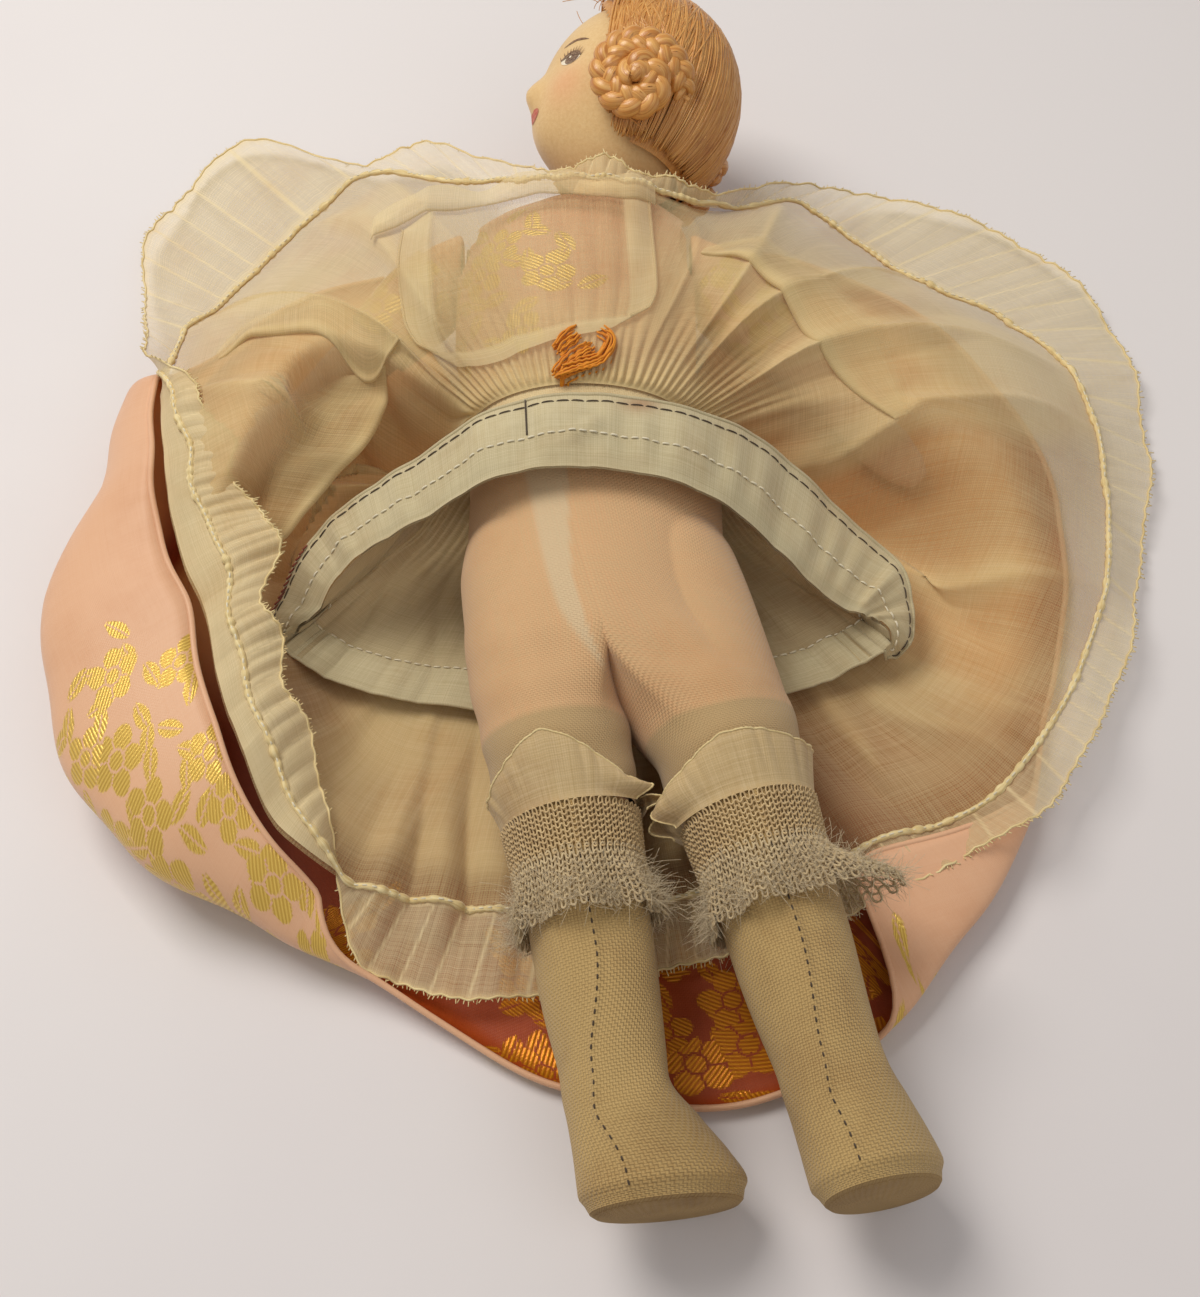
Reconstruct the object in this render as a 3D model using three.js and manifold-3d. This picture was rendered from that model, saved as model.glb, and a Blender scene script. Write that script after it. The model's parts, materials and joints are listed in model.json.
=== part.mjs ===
// Felt doll in a festive brocade dress, lying face down with its skirts spread round it.
// Millimetres, +Z up, the head towards +Y. The doll's left side is at -X.
import * as THREE from "three";
import { mergeVertices } from "three/addons/utils/BufferGeometryUtils.js";
import Module from "manifold-3d";

const wasm = await Module();
wasm.setup();

// Clearances between pieces
const skinGap = 0.4; // a garment from the felt under it
const jointGap = 0.6; // between the two faces of a joint
const swingGap = 0.9; // round a leg top that turns in its seat
const seamGap = 0.8; // between a ruffle and the cloth that it is sewn to

// Body
const spineHeight = 29; // middle of the trunk above the table
const waistX = -4;
const waistY = 48;
const waistHalfWidth = 25;
const waistHalfDepth = 18;
const hipHalfWidth = 28.5;
const hipHalfDepth = 19.5;
const chestHalfWidth = 31.5;
const chestHalfDepth = 20.5;
const chestX = -6;
const trunkEnd = 119; // where the neck leaves the shoulders, along Y
const neckSeatHeight = 31;
const shoulderY = 102;
const shoulderHalfSpan = 28.5; // chest middle to each shoulder face

// Legs
const hipY = 8;
const hipFace = 11; // middle of the pelvis to each hip face
const legTopRadius = 17.4;
const pelvisRadius = 19.5; // the round block between the leg tops
const legAxisX = 16.5;
const thighRadius = 15.4;
const kneeRadius = 14.7;
const calfRadius = 11.4;
const ankleRadius = 9.7;
const kneeAt = 48; // distances along the leg from the hip axis
const calfAt = 92;
const ankleAt = 117;
const soleAt = 140;
const footHalfWidth = 11.3;
const footHalfLength = 18.5;
const toeShift = 8; // how far the sole's middle lies towards the toes
const legDroop = { left: THREE.MathUtils.degToRad(2.4), right: THREE.MathUtils.degToRad(0.8) };
const legSplay = { left: THREE.MathUtils.degToRad(9.7), right: THREE.MathUtils.degToRad(14.6) };
const toeTurn = { left: THREE.MathUtils.degToRad(50), right: THREE.MathUtils.degToRad(28) };
const insoleThickness = 1.1;

// Arms
const upperArmRadius = 9.2;
const forearmRadius = 7.3;
const wristRadius = 5.8;
const palmHalfWidth = 7.6;
const palmHalfThickness = 4.6;
const wristAt = 52;
const handLength = 26;
const armAim = new THREE.Vector3(0.72, -0.62, -0.31).normalize(); // the right arm, mirrored for the left

// Head
const headHalfDepth = 25;
const headHalfWidth = 23;
const headHalfHeight = 29;
const neckStem = 6.5; // neck seat to the underside of the head
const neckRadius = 9;
const neckTilt = THREE.MathUtils.degToRad(14);
const neckRise = THREE.MathUtils.degToRad(10);
const headTurn = THREE.MathUtils.degToRad(75); // over the left shoulder
const hairThickness = 2.8;
const strandDepth = 0.4;
const strandCount = 14;
const napeLine = -23;
const hairlineX = 26;
const braidRadius = 2.5;
const braidPitch = 5.5;
const braidTurns = 1.8;
const braidStart = 2.7; // radius where the coil begins
const braidRise = 2;
const coilX = -10.5;
const coilZ = -10;

// Disc joints
const discThickness = 1.6;
const hipDiscRadius = 9;
const limbDiscRadius = 6;
const pinRadius = 1.2;
const pinHeadRadius = 3;
const pinHeadThickness = 1.2;
const discPlay = 0.5; // round a disc in its pocket, and beside it along its pin

// Garments
const feltSkin = 0.9; // cloth thickness of a fitted garment
const waistbandTop = 51;
const waistbandFoot = 43.5;
const waistbandThickness = 1.6;
const bodiceFoot = 52;
const necklineDrop = 5; // neck seat to the bodice's neckline
const bodiceTop = trunkEnd - necklineDrop;
const armholeRadius = 12.6;
const sleeveLength = 27;
const sleeveThickness = 1.3;
const seatTop = 42.6;
const drawersTop = 12; // along the leg
const drawersHem = 60;
const stockingTop = 61.5;
const stockingThickness = 0.9;
const laceBandTop = 61;
const laceBandWidth = 9.5;
const laceBandThickness = 1;
const laceFrillWidth = 12;
const laceFrillFlare = 4.6;
const laceWaves = 7;
const hemFlapWidth = 12;
const hemFlapFlare = 1.6;
const gauzeThickness = 0.8;
const brocadeThickness = 1.2;
const flatCut = 0.5; // how deep the skirt is cut flat where it lies on the table

// Skirts, as [angle in degrees, radius] and [angle, height] round the waist
const petticoatFloor = 3.2;
const petticoatSeam = [
  [0, 130], [15, 130], [26, 124], [38, 110], [56, 107], [62, 90], [69, 72], [80, 67], [100, 68],
  [113, 82], [125, 113], [147, 114], [165, 107], [187, 100], [207, 99], [224, 109], [240, 121],
  [256, 115], [283, 112], [303, 117], [319, 127], [340, 128],
];
const petticoatSeamHeight = [
  [0, 8], [24, 7], [40, 9], [56, 15], [62, 24], [69, 38], [80, 48], [100, 48], [113, 38], [125, 19],
  [135, 10], [147, 8], [160, 18], [187, 30], [224, 28], [238, 22], [246, 10], [266, 6.5], [303, 8],
  [340, 9],
];
const petticoatTent = { back: 6.5, side: 17 };
const ruffleEdge = [
  [6, 147], [20, 153], [30, 153], [44, 143], [56, 123], [61, 105], [66, 80.5], [71, 75], [80, 73],
  [98, 73], [105, 104], [111, 131], [117, 131], [129, 161], [143, 152], [154, 130], [162, 117],
  [170, 108], [178, 97], [187, 86], [203, 82], [218, 100], [230, 114], [240, 128], [248, 135],
  [267, 132], [283, 125], [300, 128], [322, 137], [351, 139],
];
const ruffleEdgeHeight = [
  [6, 2.6], [44, 2.6], [56, 9], [61, 21], [66, 37], [71, 43], [80, 48], [98, 46], [105, 22],
  [111, 8], [129, 2.6], [148, 5], [156, 14], [164, 28], [172, 38], [180, 39], [190, 36], [206, 35],
  [220, 36], [230, 36], [238, 28], [247, 10], [257, 5], [290, 5], [306, 10], [318, 14], [328, 12],
  [340, 8], [351, 3.5],
];
const rufflePleats = 25;
const rufflePleatHeight = 1.1;
const petticoatFolds = 11;
const petticoatFoldHeight = 1.4;
const underHemHalfWidth = 74;
const underHemX = -3.5;
const underHemY = 4;
const underHemHalfLength = 18.5;
const underHemHeight = { back: 58, side: 15, front: 6.2 };
const underFolds = 13;
const underFoldHeight = 1.1;
const skirtSpan = [152, 408];
const skirtContour = [
  [152, 110], [160, 115], [168, 120], [184, 118], [198, 133], [212, 140], [226, 142], [240, 137],
  [250, 137], [268, 149], [283, 158], [297, 152], [306, 144], [318, 137], [332, 126], [346, 117],
  [360, 104], [384, 89], [408, 84],
];
const skirtRimHeight = [
  [152, 2], [160, 8], [170, 30], [186, 36], [215, 36], [236, 28], [250, 14], [268, 6], [290, 6],
  [302, 14], [316, 12], [326, 6], [346, 4], [360, 2.5], [408, 2],
];
const skirtRimTurn = [
  [152, 0.4], [170, 0.82], [236, 0.82], [252, 0.5], [268, 0.4], [290, 0.4], [304, 0.8], [318, 0.7],
  [330, 0.5], [408, 0.4],
];
const skirtWallShare = 0.42; // of the rim's height that the wall bulges outwards
const skirtFolds = 9;
const skirtFoldHeight = 0.6;

const v3 = (x, y, z) => new THREE.Vector3(x, y, z);
const smooth = (from, to, x) => THREE.MathUtils.smoothstep(x, from, to);
const mix = THREE.MathUtils.lerp;

// A value round the waist from a short list of [angle in degrees, value].
function around(list, degrees) {
  const turn = ((degrees % 360) + 360) % 360;
  const next = list.findIndex(([angle]) => angle > turn);
  const [highAngle, high] = next < 0 ? [list[0][0] + 360, list[0][1]] : list[next];
  const [lowAngle, low] = next === 0 ? [list.at(-1)[0] - 360, list.at(-1)[1]]
      : list.at(next < 0 ? -1 : next - 1);
  return mix(low, high, smooth(lowAngle, highAngle, turn));
}

// The same for a list that doesn't close on itself.
function along(list, degrees) {
  const next = list.findIndex(([angle]) => angle >= degrees);
  if (next <= 0) return next === 0 ? list[0][1] : list.at(-1)[1];
  const [[lowAngle, low], [highAngle, high]] = [list[next - 1], list[next]];
  return mix(low, high, smooth(lowAngle, highAngle, degrees));
}

// A closed surface from points and triangles, turned to face out.
function surface(points, faces) {
  const volume = faces.reduce((sum, [a, b, c]) => {
    const normal = v3().crossVectors(points[b], points[c]);
    return sum + points[a].dot(normal);
  }, 0);
  const turned = volume < 0 ? faces.map(([a, b, c]) => [a, c, b]) : faces;
  const geometry = new THREE.BufferGeometry().setFromPoints(points);
  return geometry.setIndex(turned.flat());
}

// A stuffed form through rings, each an ellipse about its middle.
function loft(rings, sides) {
  const points = [];
  const faces = [];
  rings.forEach(({ at, across, up }) => {
    for (let k = 0; k < sides; k++) {
      const angle = (2 * Math.PI * k) / sides;
      points.push(at.clone().addScaledVector(across, Math.cos(angle)).addScaledVector(up, Math.sin(angle)));
    }
  });
  const ends = [rings[0].at, rings.at(-1).at].map((end) => points.push(end.clone()) - 1);
  for (let k = 0; k < sides; k++) {
    const next = (k + 1) % sides;
    for (let row = 0; row + 1 < rings.length; row++) {
      const [a, b] = [row * sides + k, row * sides + next];
      faces.push([a, b, b + sides], [a, b + sides, a + sides]);
    }
    const last = (rings.length - 1) * sides;
    faces.push([next, k, ends[0]], [last + k, last + next, ends[1]]);
  }
  return surface(points, faces);
}

// A sheet of cloth of even thickness over point(u, v), with u and v from 0 to 1.
function sheet(point, columns, rows, thickness, wraps) {
  const wide = wraps ? columns : columns + 1;
  const middle = [];
  for (let row = 0; row <= rows; row++) {
    for (let column = 0; column < wide; column++) middle.push(point(column / columns, row / rows));
  }
  const place = (column, row) => row * wide
      + (wraps ? (column + wide) % wide : THREE.MathUtils.clamp(column, 0, wide - 1));
  const normals = middle.map((_, index) => {
    const [column, row] = [index % wide, Math.floor(index / wide)];
    const alongU = middle[place(column + 1, row)].clone().sub(middle[place(column - 1, row)]);
    const alongV = middle[place(column, Math.min(row + 1, rows))].clone()
        .sub(middle[place(column, Math.max(row - 1, 0))]);
    return alongU.cross(alongV).normalize();
  });
  const offset = (share) => middle.map((p, index) => p.clone()
      .addScaledVector(normals[index], share * thickness));
  const points = [...offset(0.5), ...offset(-0.5)];
  const under = middle.length;
  const faces = [];
  const wall = (a, b) => faces.push([a, a + under, b], [b, a + under, b + under]);
  for (let column = 0; column < columns; column++) {
    for (let row = 0; row < rows; row++) {
      const [a, b, c, d] = [place(column, row), place(column + 1, row), place(column + 1, row + 1),
          place(column, row + 1)];
      faces.push([a, b, c], [a, c, d], [a + under, c + under, b + under], [a + under, d + under, c + under]);
    }
    wall(place(column, 0), place(column + 1, 0));
    wall(place(column + 1, rows), place(column, rows));
  }
  if (!wraps) {
    for (let row = 0; row < rows; row++) {
      wall(place(0, row + 1), place(0, row));
      wall(place(columns, row), place(columns, row + 1));
    }
  }
  return surface(points, faces);
}

// Between three.js geometry and solids that can be cut and joined.
function solid(geometry) {
  const bare = geometry.clone();
  bare.deleteAttribute("normal");
  bare.deleteAttribute("uv");
  const merged = mergeVertices(bare, 1e-4);
  const vertProperties = merged.attributes.position.array;
  const triVerts = new Uint32Array(merged.index.array);
  return new wasm.Manifold(new wasm.Mesh({ numProp: 3, vertProperties, triVerts }));
}

function geometryOf(shape) {
  const { vertProperties, triVerts } = shape.getMesh();
  return new THREE.BufferGeometry()
    .setAttribute("position", new THREE.BufferAttribute(vertProperties, 3))
    .setIndex(new THREE.BufferAttribute(triVerts, 1));
}

// A revolved piece about an axis through a point; the profile is [radius, distance along the axis].
function revolve(profile, segments, at, axis) {
  const lathe = new THREE.LatheGeometry(profile.map(([r, h]) => new THREE.Vector2(r, h)), segments);
  const turn = new THREE.Quaternion().setFromUnitVectors(v3(0, 1, 0), axis);
  return lathe.applyQuaternion(turn).translate(at.x, at.y, at.z);
}

const plug = (radius, from, to, at, axis, segments = 24) =>
  solid(revolve([[0, from], [radius, from], [radius, to], [0, to]], segments, at, axis));

// Keeps what lies past a plane through a point, on the side that the normal points to.
const keepPast = (shape, normal, at) => shape.trimByPlane(normal.toArray(), normal.dot(at));

const doll = new THREE.Group();
const bodies = {};
for (const name of ["torso", "head", "leftArm", "rightArm", "leftLeg", "rightLeg"]) {
  bodies[name] = new THREE.Group();
  doll.add(bodies[name]);
}

const cloth = (color, roughness = 0.9) => new THREE.MeshStandardMaterial({ color, roughness, metalness: 0 });
const finish = {
  bodyCloth: cloth(0xe3b48f),
  felt: cloth(0xe8bd94),
  faceFelt: cloth(0xe6c79c),
  hair: cloth(0xc08a4a, 0.45),
  brocade: cloth(0xefbf9d, 0.55),
  gauze: cloth(0xd9cfae),
  paleGauze: cloth(0xc9c9b2),
  stocking: cloth(0xb3a276),
  lace: cloth(0xb9ad98),
  fibre: cloth(0x8a6a48),
  wire: new THREE.MeshStandardMaterial({ color: 0x8f8f8f, roughness: 0.4, metalness: 0.9 }),
};

// Puts a piece, modelled where it lies, into the group of the body that carries it.
function place(body, name, geometry, material) {
  const mesh = new THREE.Mesh(geometry, material);
  mesh.name = name;
  mesh.position.copy(bodies[body].position).negate();
  bodies[body].add(mesh);
}

// A disc joint: two fibre discs held face to face by a split pin along the joint's axis.
// The axis points from the trunk into the limb, and the joint's middle is its origin.
const discInner = jointGap / 2 + discPlay;
const discOuter = discInner + discThickness;
const headInner = discOuter + discPlay;
const headOuter = headInner + pinHeadThickness;
const pocketDepth = headOuter + discPlay;
const pinBore = pinRadius + discPlay;

function disc(radius, from, to, at, axis) {
  return revolve([[pinBore, from], [radius, from], [radius, to], [pinBore, to], [pinBore, from]], 12, at,
      axis);
}

function pin(at, axis) {
  const half = [[pinRadius, 0], [pinRadius, headInner], [pinHeadRadius, headInner],
      [pinHeadRadius, headOuter], [0, headOuter]];
  const mirrored = half.slice(1).reverse().map(([r, h]) => [r, -h]);
  return revolve([...mirrored, ...half.slice(1)], 8, at, axis);
}

function joint(name, limbBody, radius, at, axis) {
  place("torso", `${name}_trunk_disc`, disc(radius, -discOuter, -discInner, at, axis), finish.fibre);
  place("torso", `${name}_pin`, pin(at, axis), finish.wire);
  place(limbBody, `${name}_limb_disc`, disc(radius, discInner, discOuter, at, axis), finish.fibre);
}

const pocket = (radius, way, at, axis) =>
  plug(radius + discPlay, way < 0 ? -pocketDepth : -jointGap, way < 0 ? jointGap : pocketDepth, at, axis, 12);

// Joint places
const sides = { left: -1, right: 1 };
const lateral = v3(1, 0, 0);
const hips = { left: v3(-hipFace - jointGap / 2, hipY, spineHeight),
  right: v3(hipFace + jointGap / 2, hipY, spineHeight) };
const shoulderAt = (side) => v3(chestX + sides[side] * (shoulderHalfSpan + jointGap / 2), shoulderY,
  spineHeight);
const shoulders = { left: shoulderAt("left"), right: shoulderAt("right") };
const neckAxis = v3(Math.sin(neckTilt), Math.cos(neckTilt), Math.tan(neckRise)).normalize();
const neckSeat = v3(0, trunkEnd, neckSeatHeight);
bodies.head.position.copy(neckSeat);
bodies.leftArm.position.copy(shoulders.left);
bodies.rightArm.position.copy(shoulders.right);
bodies.leftLeg.position.copy(hips.left);
bodies.rightLeg.position.copy(hips.right);

// Trunk: a stuffed form from the hips to the neck, grown by the thickness of what lies on it.
const trunkStations = [
  [hipY + 6, 0, 0, hipHalfWidth - 8.5, hipHalfDepth - 4],
  [hipY + 12, 0, 0, hipHalfWidth - 2, hipHalfDepth - 1],
  [mix(hipY, waistY, 0.55), waistX * 0.25, 0, hipHalfWidth, hipHalfDepth],
  [mix(hipY, waistY, 0.8), waistX * 0.6, 0, mix(waistHalfWidth, hipHalfWidth, 0.4),
      mix(waistHalfDepth, hipHalfDepth, 0.5)],
  [waistY, waistX, 0, waistHalfWidth, waistHalfDepth],
  [mix(waistY, trunkEnd, 0.17), mix(waistX, chestX, 0.5), -0.5, mix(waistHalfWidth, chestHalfWidth, 0.25),
      mix(waistHalfDepth, chestHalfDepth, 0.3)],
  [mix(waistY, trunkEnd, 0.39), chestX, -1, chestHalfWidth - 2, chestHalfDepth - 0.5],
  [mix(waistY, trunkEnd, 0.62), chestX, -1, chestHalfWidth, chestHalfDepth],
  [mix(waistY, trunkEnd, 0.79), chestX + 1, 0, chestHalfWidth - 0.5, chestHalfDepth - 1.5],
  [mix(waistY, trunkEnd, 0.9), chestX + 3, 1.5, chestHalfWidth - 6, chestHalfDepth - 6],
  [mix(waistY, trunkEnd, 0.97), chestX + 5, 2, chestHalfWidth - 13.5, chestHalfDepth - 9],
  [trunkEnd + 3, 0, neckSeatHeight - spineHeight, neckRadius + 3, neckRadius + 1],
];
// The trunk's middle, lift, half width and half depth at a place along Y
function trunkSection(y) {
  const next = trunkStations.findIndex(([place]) => place > y);
  const [low, high] = [trunkStations[next - 1], trunkStations[next]];
  return [1, 2, 3, 4].map((k) => mix(low[k], high[k], (y - low[0]) / (high[0] - low[0])));
}

const hipCutter = (radius, halfLength) =>
  plug(radius, -halfLength, halfLength, v3(0, hipY, spineHeight), lateral, 32);

function trunk(grow) {
  const rings = trunkStations.map(([y, x, lift, halfWidth, halfDepth]) => ({
    at: v3(x, y, spineHeight + lift),
    across: v3(halfWidth + grow, 0, 0),
    up: v3(0, 0, halfDepth + grow),
  }));
  const whole = solid(loft(rings, 16));
  const squared = Object.values(sides).reduce(
    (shape, side) => keepPast(shape, v3(-side, 0, 0),
        v3(chestX + side * (shoulderHalfSpan + grow), 0, 0)), whole);
  return keepPast(squared, neckAxis.clone().negate(),
      neckSeat.clone().addScaledVector(neckAxis, grow - jointGap / 2));
}

function torso() {
  const legRoom = hipCutter(legTopRadius + swingGap, hipHalfWidth * 2);
  let body = trunk(0).subtract(legRoom).add(hipCutter(pelvisRadius, hipFace));
  for (const [side, sign] of Object.entries(sides)) {
    body = body.subtract(pocket(hipDiscRadius, -1, hips[side], v3(sign, 0, 0)));
    body = body.subtract(pocket(limbDiscRadius, -1, shoulders[side], v3(sign, 0, 0)));
  }
  return geometryOf(body.subtract(pocket(limbDiscRadius, -1, neckSeat, neckAxis)));
}

// A fitted layer over the trunk between two places along Y.
function trunkLayer(thickness, foot, top) {
  const shell = trunk(skinGap + thickness).subtract(trunk(skinGap));
  const footed = keepPast(shell, v3(0, 1, 0), v3(0, foot, 0));
  return keepPast(footed, v3(0, -1, 0), v3(0, top, 0));
}

function bodice() {
  return geometryOf(Object.entries(sides).reduce((shape, [side, sign]) => {
    const armhole = plug(armholeRadius, -shoulderHalfSpan / 3, shoulderHalfSpan, shoulders[side],
        v3(sign, 0, 0));
    return shape.subtract(armhole);
  }, trunkLayer(feltSkin, bodiceFoot, bodiceTop)));
}

function drawersSeat() {
  const legRoom = hipCutter(pelvisRadius + skinGap, hipHalfWidth * 2);
  return geometryOf(trunkLayer(feltSkin, hipY, seatTop).subtract(legRoom));
}

place("torso", "torso", torso(), finish.bodyCloth);
place("torso", "bodice", bodice(), finish.brocade);
place("torso", "waistband", geometryOf(trunkLayer(waistbandThickness, waistbandFoot, waistbandTop)),
    finish.brocade);
place("torso", "drawers_seat", drawersSeat(), finish.paleGauze);

// Legs: straight stuffed felt legs whose feet turn outwards, in cotton stockings.
const soleLift = 2 * skinGap + insoleThickness;

function legFrame(side) {
  const [splay, droop] = [legSplay[side], legDroop[side]];
  const aim = v3(Math.sin(splay) * Math.cos(droop), -Math.cos(splay) * Math.cos(droop), -Math.sin(droop));
  const across = v3(Math.cos(splay), Math.sin(splay), 0);
  const top = v3(sides[side] * legAxisX, hipY, spineHeight);
  const at = (distance) => top.clone().addScaledVector(aim, distance);
  return { aim, across, at };
}

// [distance, half width, half depth, shift to the toes, share of the toes' turn]
const topRing = (distance, share) =>
  [-distance, share * thighRadius, Math.sqrt(legTopRadius ** 2 - distance ** 2) * 0.97, 0, 0];
const legStations = [
  topRing(legTopRadius * 0.95, 0.36),
  topRing(legTopRadius * 0.75, 0.68),
  topRing(legTopRadius * 0.4, 0.86),
  [0, thighRadius * 0.96, legTopRadius * 0.94, 0, 0],
  [kneeAt * 0.3, thighRadius, thighRadius + 0.6, 0, 0],
  [kneeAt * 0.65, thighRadius, thighRadius + 0.2, 0, 0],
  [kneeAt, kneeRadius, kneeRadius, 0, 0],
  [mix(kneeAt, calfAt, 0.3), mix(kneeRadius, calfRadius, 0.5), mix(kneeRadius, calfRadius, 0.5), 0, 0],
  [mix(kneeAt, calfAt, 0.65), mix(kneeRadius, calfRadius, 0.85), mix(kneeRadius, calfRadius, 0.85), 0, 0],
  [calfAt, calfRadius, calfRadius, 0, 0],
  [ankleAt, ankleRadius, ankleRadius, 0, 0.6],
  [mix(ankleAt, soleAt, 0.4), mix(ankleRadius, footHalfWidth, 0.5), mix(ankleRadius, footHalfLength, 0.4),
      toeShift * 0.4, 1],
  [mix(ankleAt, soleAt, 0.7), mix(ankleRadius, footHalfWidth, 0.85),
      mix(ankleRadius, footHalfLength, 0.8), toeShift * 0.8, 1],
  [mix(ankleAt, soleAt, 0.92), footHalfWidth, footHalfLength, toeShift, 1],
  [soleAt, footHalfWidth - 1, footHalfLength - 1, toeShift, 1],
];

function leg(side, grow, soleGrow = grow) {
  const { aim, across, at } = legFrame(side);
  const rings = legStations.map(([distance, halfWidth, halfDepth, shift, turn]) => {
    const angle = turn * toeTurn[side];
    const toes = across.clone().cross(aim).applyAxisAngle(aim, angle);
    const flank = across.clone().applyAxisAngle(aim, angle);
    const end = distance === soleAt ? soleGrow : 0;
    return {
      at: at(distance + end).addScaledVector(toes, shift),
      across: flank.multiplyScalar(halfWidth + grow),
      up: toes.clone().multiplyScalar(-halfDepth - grow),
    };
  });
  return solid(loft(rings, 14));
}

// A fitted layer over the leg between two distances along it.
function legLayer(side, inner, thickness, from, to) {
  const { aim, at } = legFrame(side);
  const shell = leg(side, inner + thickness, soleLift + thickness).subtract(leg(side, inner, soleLift));
  const started = keepPast(shell, aim, at(from));
  return to === undefined ? started : keepPast(started, aim.clone().negate(), at(to));
}

const pelvisRoom = (extra) => hipCutter(pelvisRadius + swingGap + extra, hipFace + jointGap);

// A band of cloth or lace round the leg, flaring to its free edge.
function legBand(side, from, width, startGap, flare, waves, thickness) {
  const { aim, across, at } = legFrame(side);
  const lift = across.clone().cross(aim).normalize();
  const radiusAt = (distance) => {
    const index = legStations.findIndex(([place]) => place >= distance);
    const [low, high] = [legStations[index - 1], legStations[index]];
    return mix(low[1], high[1], (distance - low[0]) / (high[0] - low[0]));
  };
  const point = (u, v) => {
    const angle = 2 * Math.PI * u;
    const distance = from + v * width;
    const freeSide = 0.55 + 0.45 * Math.sin(angle) * Math.sign(lift.z);
    const wave = 0.7 + 0.3 * Math.cos(waves * angle);
    const radius = radiusAt(distance) + startGap + thickness / 2 + v * flare * freeSide * wave;
    return at(distance).addScaledVector(across, radius * Math.cos(angle))
        .addScaledVector(lift, radius * Math.sin(angle));
  };
  return sheet(point, 28, 2, thickness, true);
}

for (const side of Object.keys(sides)) {
  const body = `${side}Leg`;
  const { aim, at } = legFrame(side);
  const felt = leg(side, 0, 0).subtract(pelvisRoom(0))
      .subtract(pocket(hipDiscRadius, 1, hips[side], v3(sides[side], 0, 0)));
  place(body, `${side}_leg`, geometryOf(felt), finish.felt);
  joint(`${side}_hip`, body, hipDiscRadius, hips[side], v3(sides[side], 0, 0));
  const drawers = legLayer(side, skinGap, feltSkin, drawersTop, drawersHem).subtract(pelvisRoom(skinGap));
  place(body, `${side}_drawers_leg`, geometryOf(drawers), finish.paleGauze);
  place(body, `${side}_stocking`, geometryOf(legLayer(side, skinGap, stockingThickness, stockingTop)),
      finish.stocking);
  const soleBlank = keepPast(leg(side, -1, soleLift - skinGap), aim, at(soleAt + skinGap));
  place(body, `${side}_insole`, geometryOf(soleBlank), finish.fibre);
  const hemGap = 2 * skinGap + feltSkin;
  const flap = legBand(side, drawersHem - hemFlapWidth, hemFlapWidth, hemGap, hemFlapFlare, 3,
      gauzeThickness);
  place(body, `${side}_hem_flap`, flap, finish.gauze);
  const stockingSkin = skinGap + stockingThickness;
  const band = legBand(side, laceBandTop + seamGap, laceBandWidth, stockingSkin + skinGap, 0.4, 1,
      laceBandThickness);
  place(body, `${side}_lace_band`, band, finish.lace);
  const frillTop = laceBandTop + laceBandWidth + 2 * seamGap;
  const frill = legBand(side, frillTop, laceFrillWidth, stockingSkin + skinGap, laceFrillFlare, laceWaves,
      laceBandThickness);
  place(body, `${side}_lace_frill`, frill, finish.lace);
}

// Arms: tapering felt arms with mitten hands, in short brocade sleeves.
const armStations = [
  [-8, 6, 6], [0, upperArmRadius * 0.95, upperArmRadius], [10, upperArmRadius, upperArmRadius],
  [24, mix(upperArmRadius, forearmRadius, 0.5), mix(upperArmRadius, forearmRadius, 0.5)],
  [38, forearmRadius, forearmRadius], [wristAt, wristRadius, wristRadius * 0.95],
  [wristAt + handLength * 0.25, palmHalfWidth * 0.92, palmHalfThickness],
  [wristAt + handLength * 0.55, palmHalfWidth, palmHalfThickness],
  [wristAt + handLength * 0.85, palmHalfWidth * 0.74, palmHalfThickness * 0.8],
  [wristAt + handLength, palmHalfWidth * 0.36, palmHalfThickness * 0.5],
];

function armFrame(side) {
  const aim = armAim.clone().multiply(v3(sides[side], 1, 1));
  const across = v3(0, 0, 1).cross(aim).normalize();
  const lift = aim.clone().cross(across);
  const at = (distance) => shoulders[side].clone().addScaledVector(lateral, sides[side] * 3)
      .addScaledVector(aim, distance);
  return { aim, across, lift, at };
}

function arm(side, grow) {
  const { across, lift, at } = armFrame(side);
  const rings = armStations.map(([distance, halfWidth, halfDepth]) => ({
    at: at(distance), across: across.clone().multiplyScalar(halfWidth + grow),
        up: lift.clone().multiplyScalar(halfDepth + grow),
  }));
  return solid(loft(rings, 12));
}

function thumb(side) {
  const { aim, across, at } = armFrame(side);
  const outward = across.clone().multiplyScalar(sides[side]);
  const lean = aim.clone().addScaledVector(outward, 0.8).normalize();
  const root = at(wristAt + 2).addScaledVector(outward, palmHalfWidth * 0.35);
  const girth = v3().crossVectors(lean, v3(0, 0, 1)).normalize();
  const rings = [[0, 2.6], [5, 2.7], [9, 2.2], [11, 1.1]].map(([distance, radius]) => ({
    at: root.clone().addScaledVector(lean, distance),
    across: girth.clone().multiplyScalar(radius),
    up: girth.clone().cross(lean).multiplyScalar(radius),
  }));
  return solid(loft(rings, 8));
}

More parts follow.
